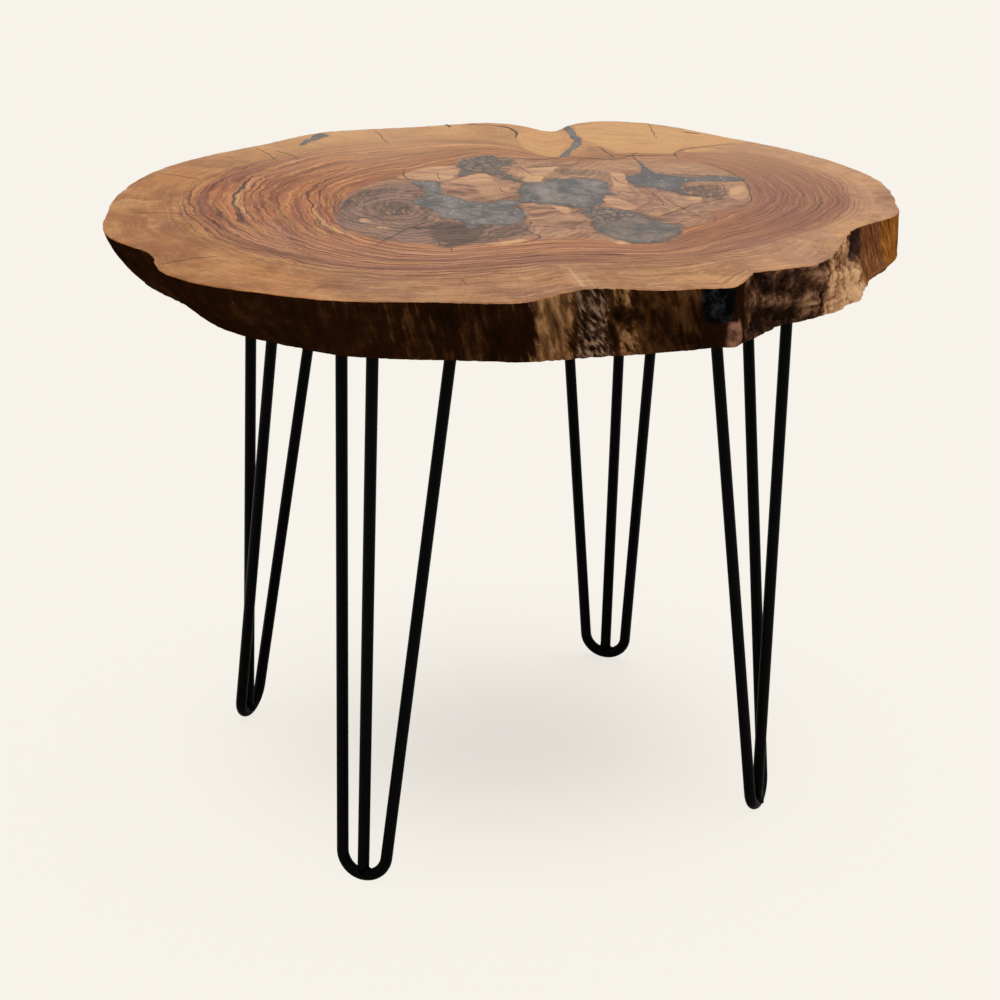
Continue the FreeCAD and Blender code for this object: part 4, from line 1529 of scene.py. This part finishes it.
LEGS = (
    HairpinLeg("front_left", (-99.8, -213.1), -19.9),
    HairpinLeg("front_right", (226.0, -68.6), 70.1),
    HairpinLeg("back_right", (103.6, 218.9), 162.7),
    HairpinLeg("back_left", (-218.6, 74.5), -110.5),
)


def settle(piece: bpy.types.Object, slot: str, *nodes: str) -> None:
    """Lets a piece ride on the table, in place of its nodes, and logs it."""
    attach(piece, "root")
    if nodes:
        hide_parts(*nodes)
    log.info("%s: %d faces", piece.name, len(piece.data.polygons))


def paint(node: str, finish: Finish) -> None:
    """Gives a CAD node a finish."""
    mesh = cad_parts[node].data
    mesh.materials.clear()
    mesh.materials.append(finish.material())
    log.info("%s: %s", node, finish.value.name)


# The studio


@dataclass(frozen=True)
class Studio:
    """The pale floor and background, the soft light and the camera."""

    backdrop: Colour = srgb(247, 243, 235)
    sky: float = 0.44
    sun: float = 1.76
    sun_spread: float = 52.0
    rightward: float = 0.6
    shadow: float = 0.28
    faint: float = 0.03
    shadow_at: tuple[float, float] = (0.015, 0.07)
    shadow_reach: float = 0.36
    pitch: float = 22.2115
    roll: float = 1.8577
    back: float = 2.2194
    height: float = 1.1515
    lens: float = 102.88

    def light(self) -> None:
        """Sets the world and a broad overhead sun; camera and mirror rays see the backdrop."""
        g = Graph(bpy.data.worlds.new("studio"))
        bpy.context.scene.world = g.owner
        rays = g.node("ShaderNodeLightPath").socket.node.outputs
        camera, mirror, through = (
            Value(g, rays[f"Is {kind} Ray"]) for kind in ("Camera", "Glossy", "Transmission")
        )
        right = g.parts(g.node("ShaderNodeTexCoord", out="Generated"))[0]
        level = self.sky * (1 + right * self.rightward)
        sky = g.node("ShaderNodeBackground", {}, {"Color": (1, 1, 1, 1), "Strength": level})
        card = g.node("ShaderNodeBackground", {}, {"Color": (*self.backdrop, 1), "Strength": 1.0})
        seen = camera.larger(mirror).larger(through)
        mixed = g.node("ShaderNodeMixShader", {}, {0: seen, 1: sky, 2: card})
        g.node_output("ShaderNodeOutputWorld", mixed)
        lamp = bpy.data.lights.new("overhead", "SUN")
        lamp.energy = self.sun
        lamp.angle = math.radians(self.sun_spread)
        made = bpy.data.objects.new("overhead", lamp)
        bpy.context.scene.collection.objects.link(made)

    def floor(self) -> None:
        """Lays a wide floor in the backdrop's colour, on which the table's shadow shows in part."""
        reach = 60.0
        points = np.array([[-reach, -reach, 0], [reach, -reach, 0], [reach, reach, 0], [-reach, reach, 0]])
        g = new_graph("pale_floor")
        lit = self.sky + self.sun / math.pi
        tone = tuple(min(channel / lit, 1.0) for channel in self.backdrop)
        shaded = g.node("ShaderNodeBsdfDiffuse", {}, {"Color": (*tone, 1)})
        plain = g.node("ShaderNodeEmission", {}, {"Color": (*self.backdrop, 1), "Strength": 1.0})
        x, y, _ = g.parts(g.place())
        off_x, off_y = x - self.shadow_at[0], y - self.shadow_at[1]
        near = ((off_x * off_x + off_y * off_y) ** 0.5).step(self.shadow_reach, 0.0)
        camera = g.node("ShaderNodeLightPath", out="Is Camera Ray")
        share = camera * (1 - self.faint - near * self.shadow)
        mixed = g.node("ShaderNodeMixShader", {}, {0: share, 1: shaded, 2: plain})
        g.node_output("ShaderNodeOutputMaterial", mixed)
        add_mesh("floor", points, np.array([[0, 1, 2, 3]]), [g.owner])

    def camera(self) -> None:
        """Stands the camera where the photograph was taken from."""
        lens = bpy.data.cameras.new("camera")
        lens.lens, lens.sensor_width = self.lens, 36.0
        lens.clip_end = 200.0
        made = bpy.data.objects.new("camera", lens)
        tilt = Matrix.Rotation(math.radians(90 - self.pitch), 4, "X")
        spin = Matrix.Rotation(math.radians(self.roll), 4, "Z")
        made.matrix_world = Matrix.Translation((0, -self.back, self.height)) @ tilt @ spin
        bpy.context.scene.collection.objects.link(made)
        bpy.context.scene.camera = made


def main() -> None:
    """Builds the table and the studio."""
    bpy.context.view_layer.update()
    slab = Slab()
    settle(slab.build(), "wood", slab.node)
    for pool in POOLS:
        settle(pool.build(slab), "resin", pool.node)
    settle(build_checks(slab), "resin")
    for leg in LEGS:
        leg.dress()
    studio = Studio()
    studio.light()
    studio.floor()
    studio.camera()
    bpy.context.scene.view_settings.view_transform = "Standard"


if __name__ == "__main__":
    main()
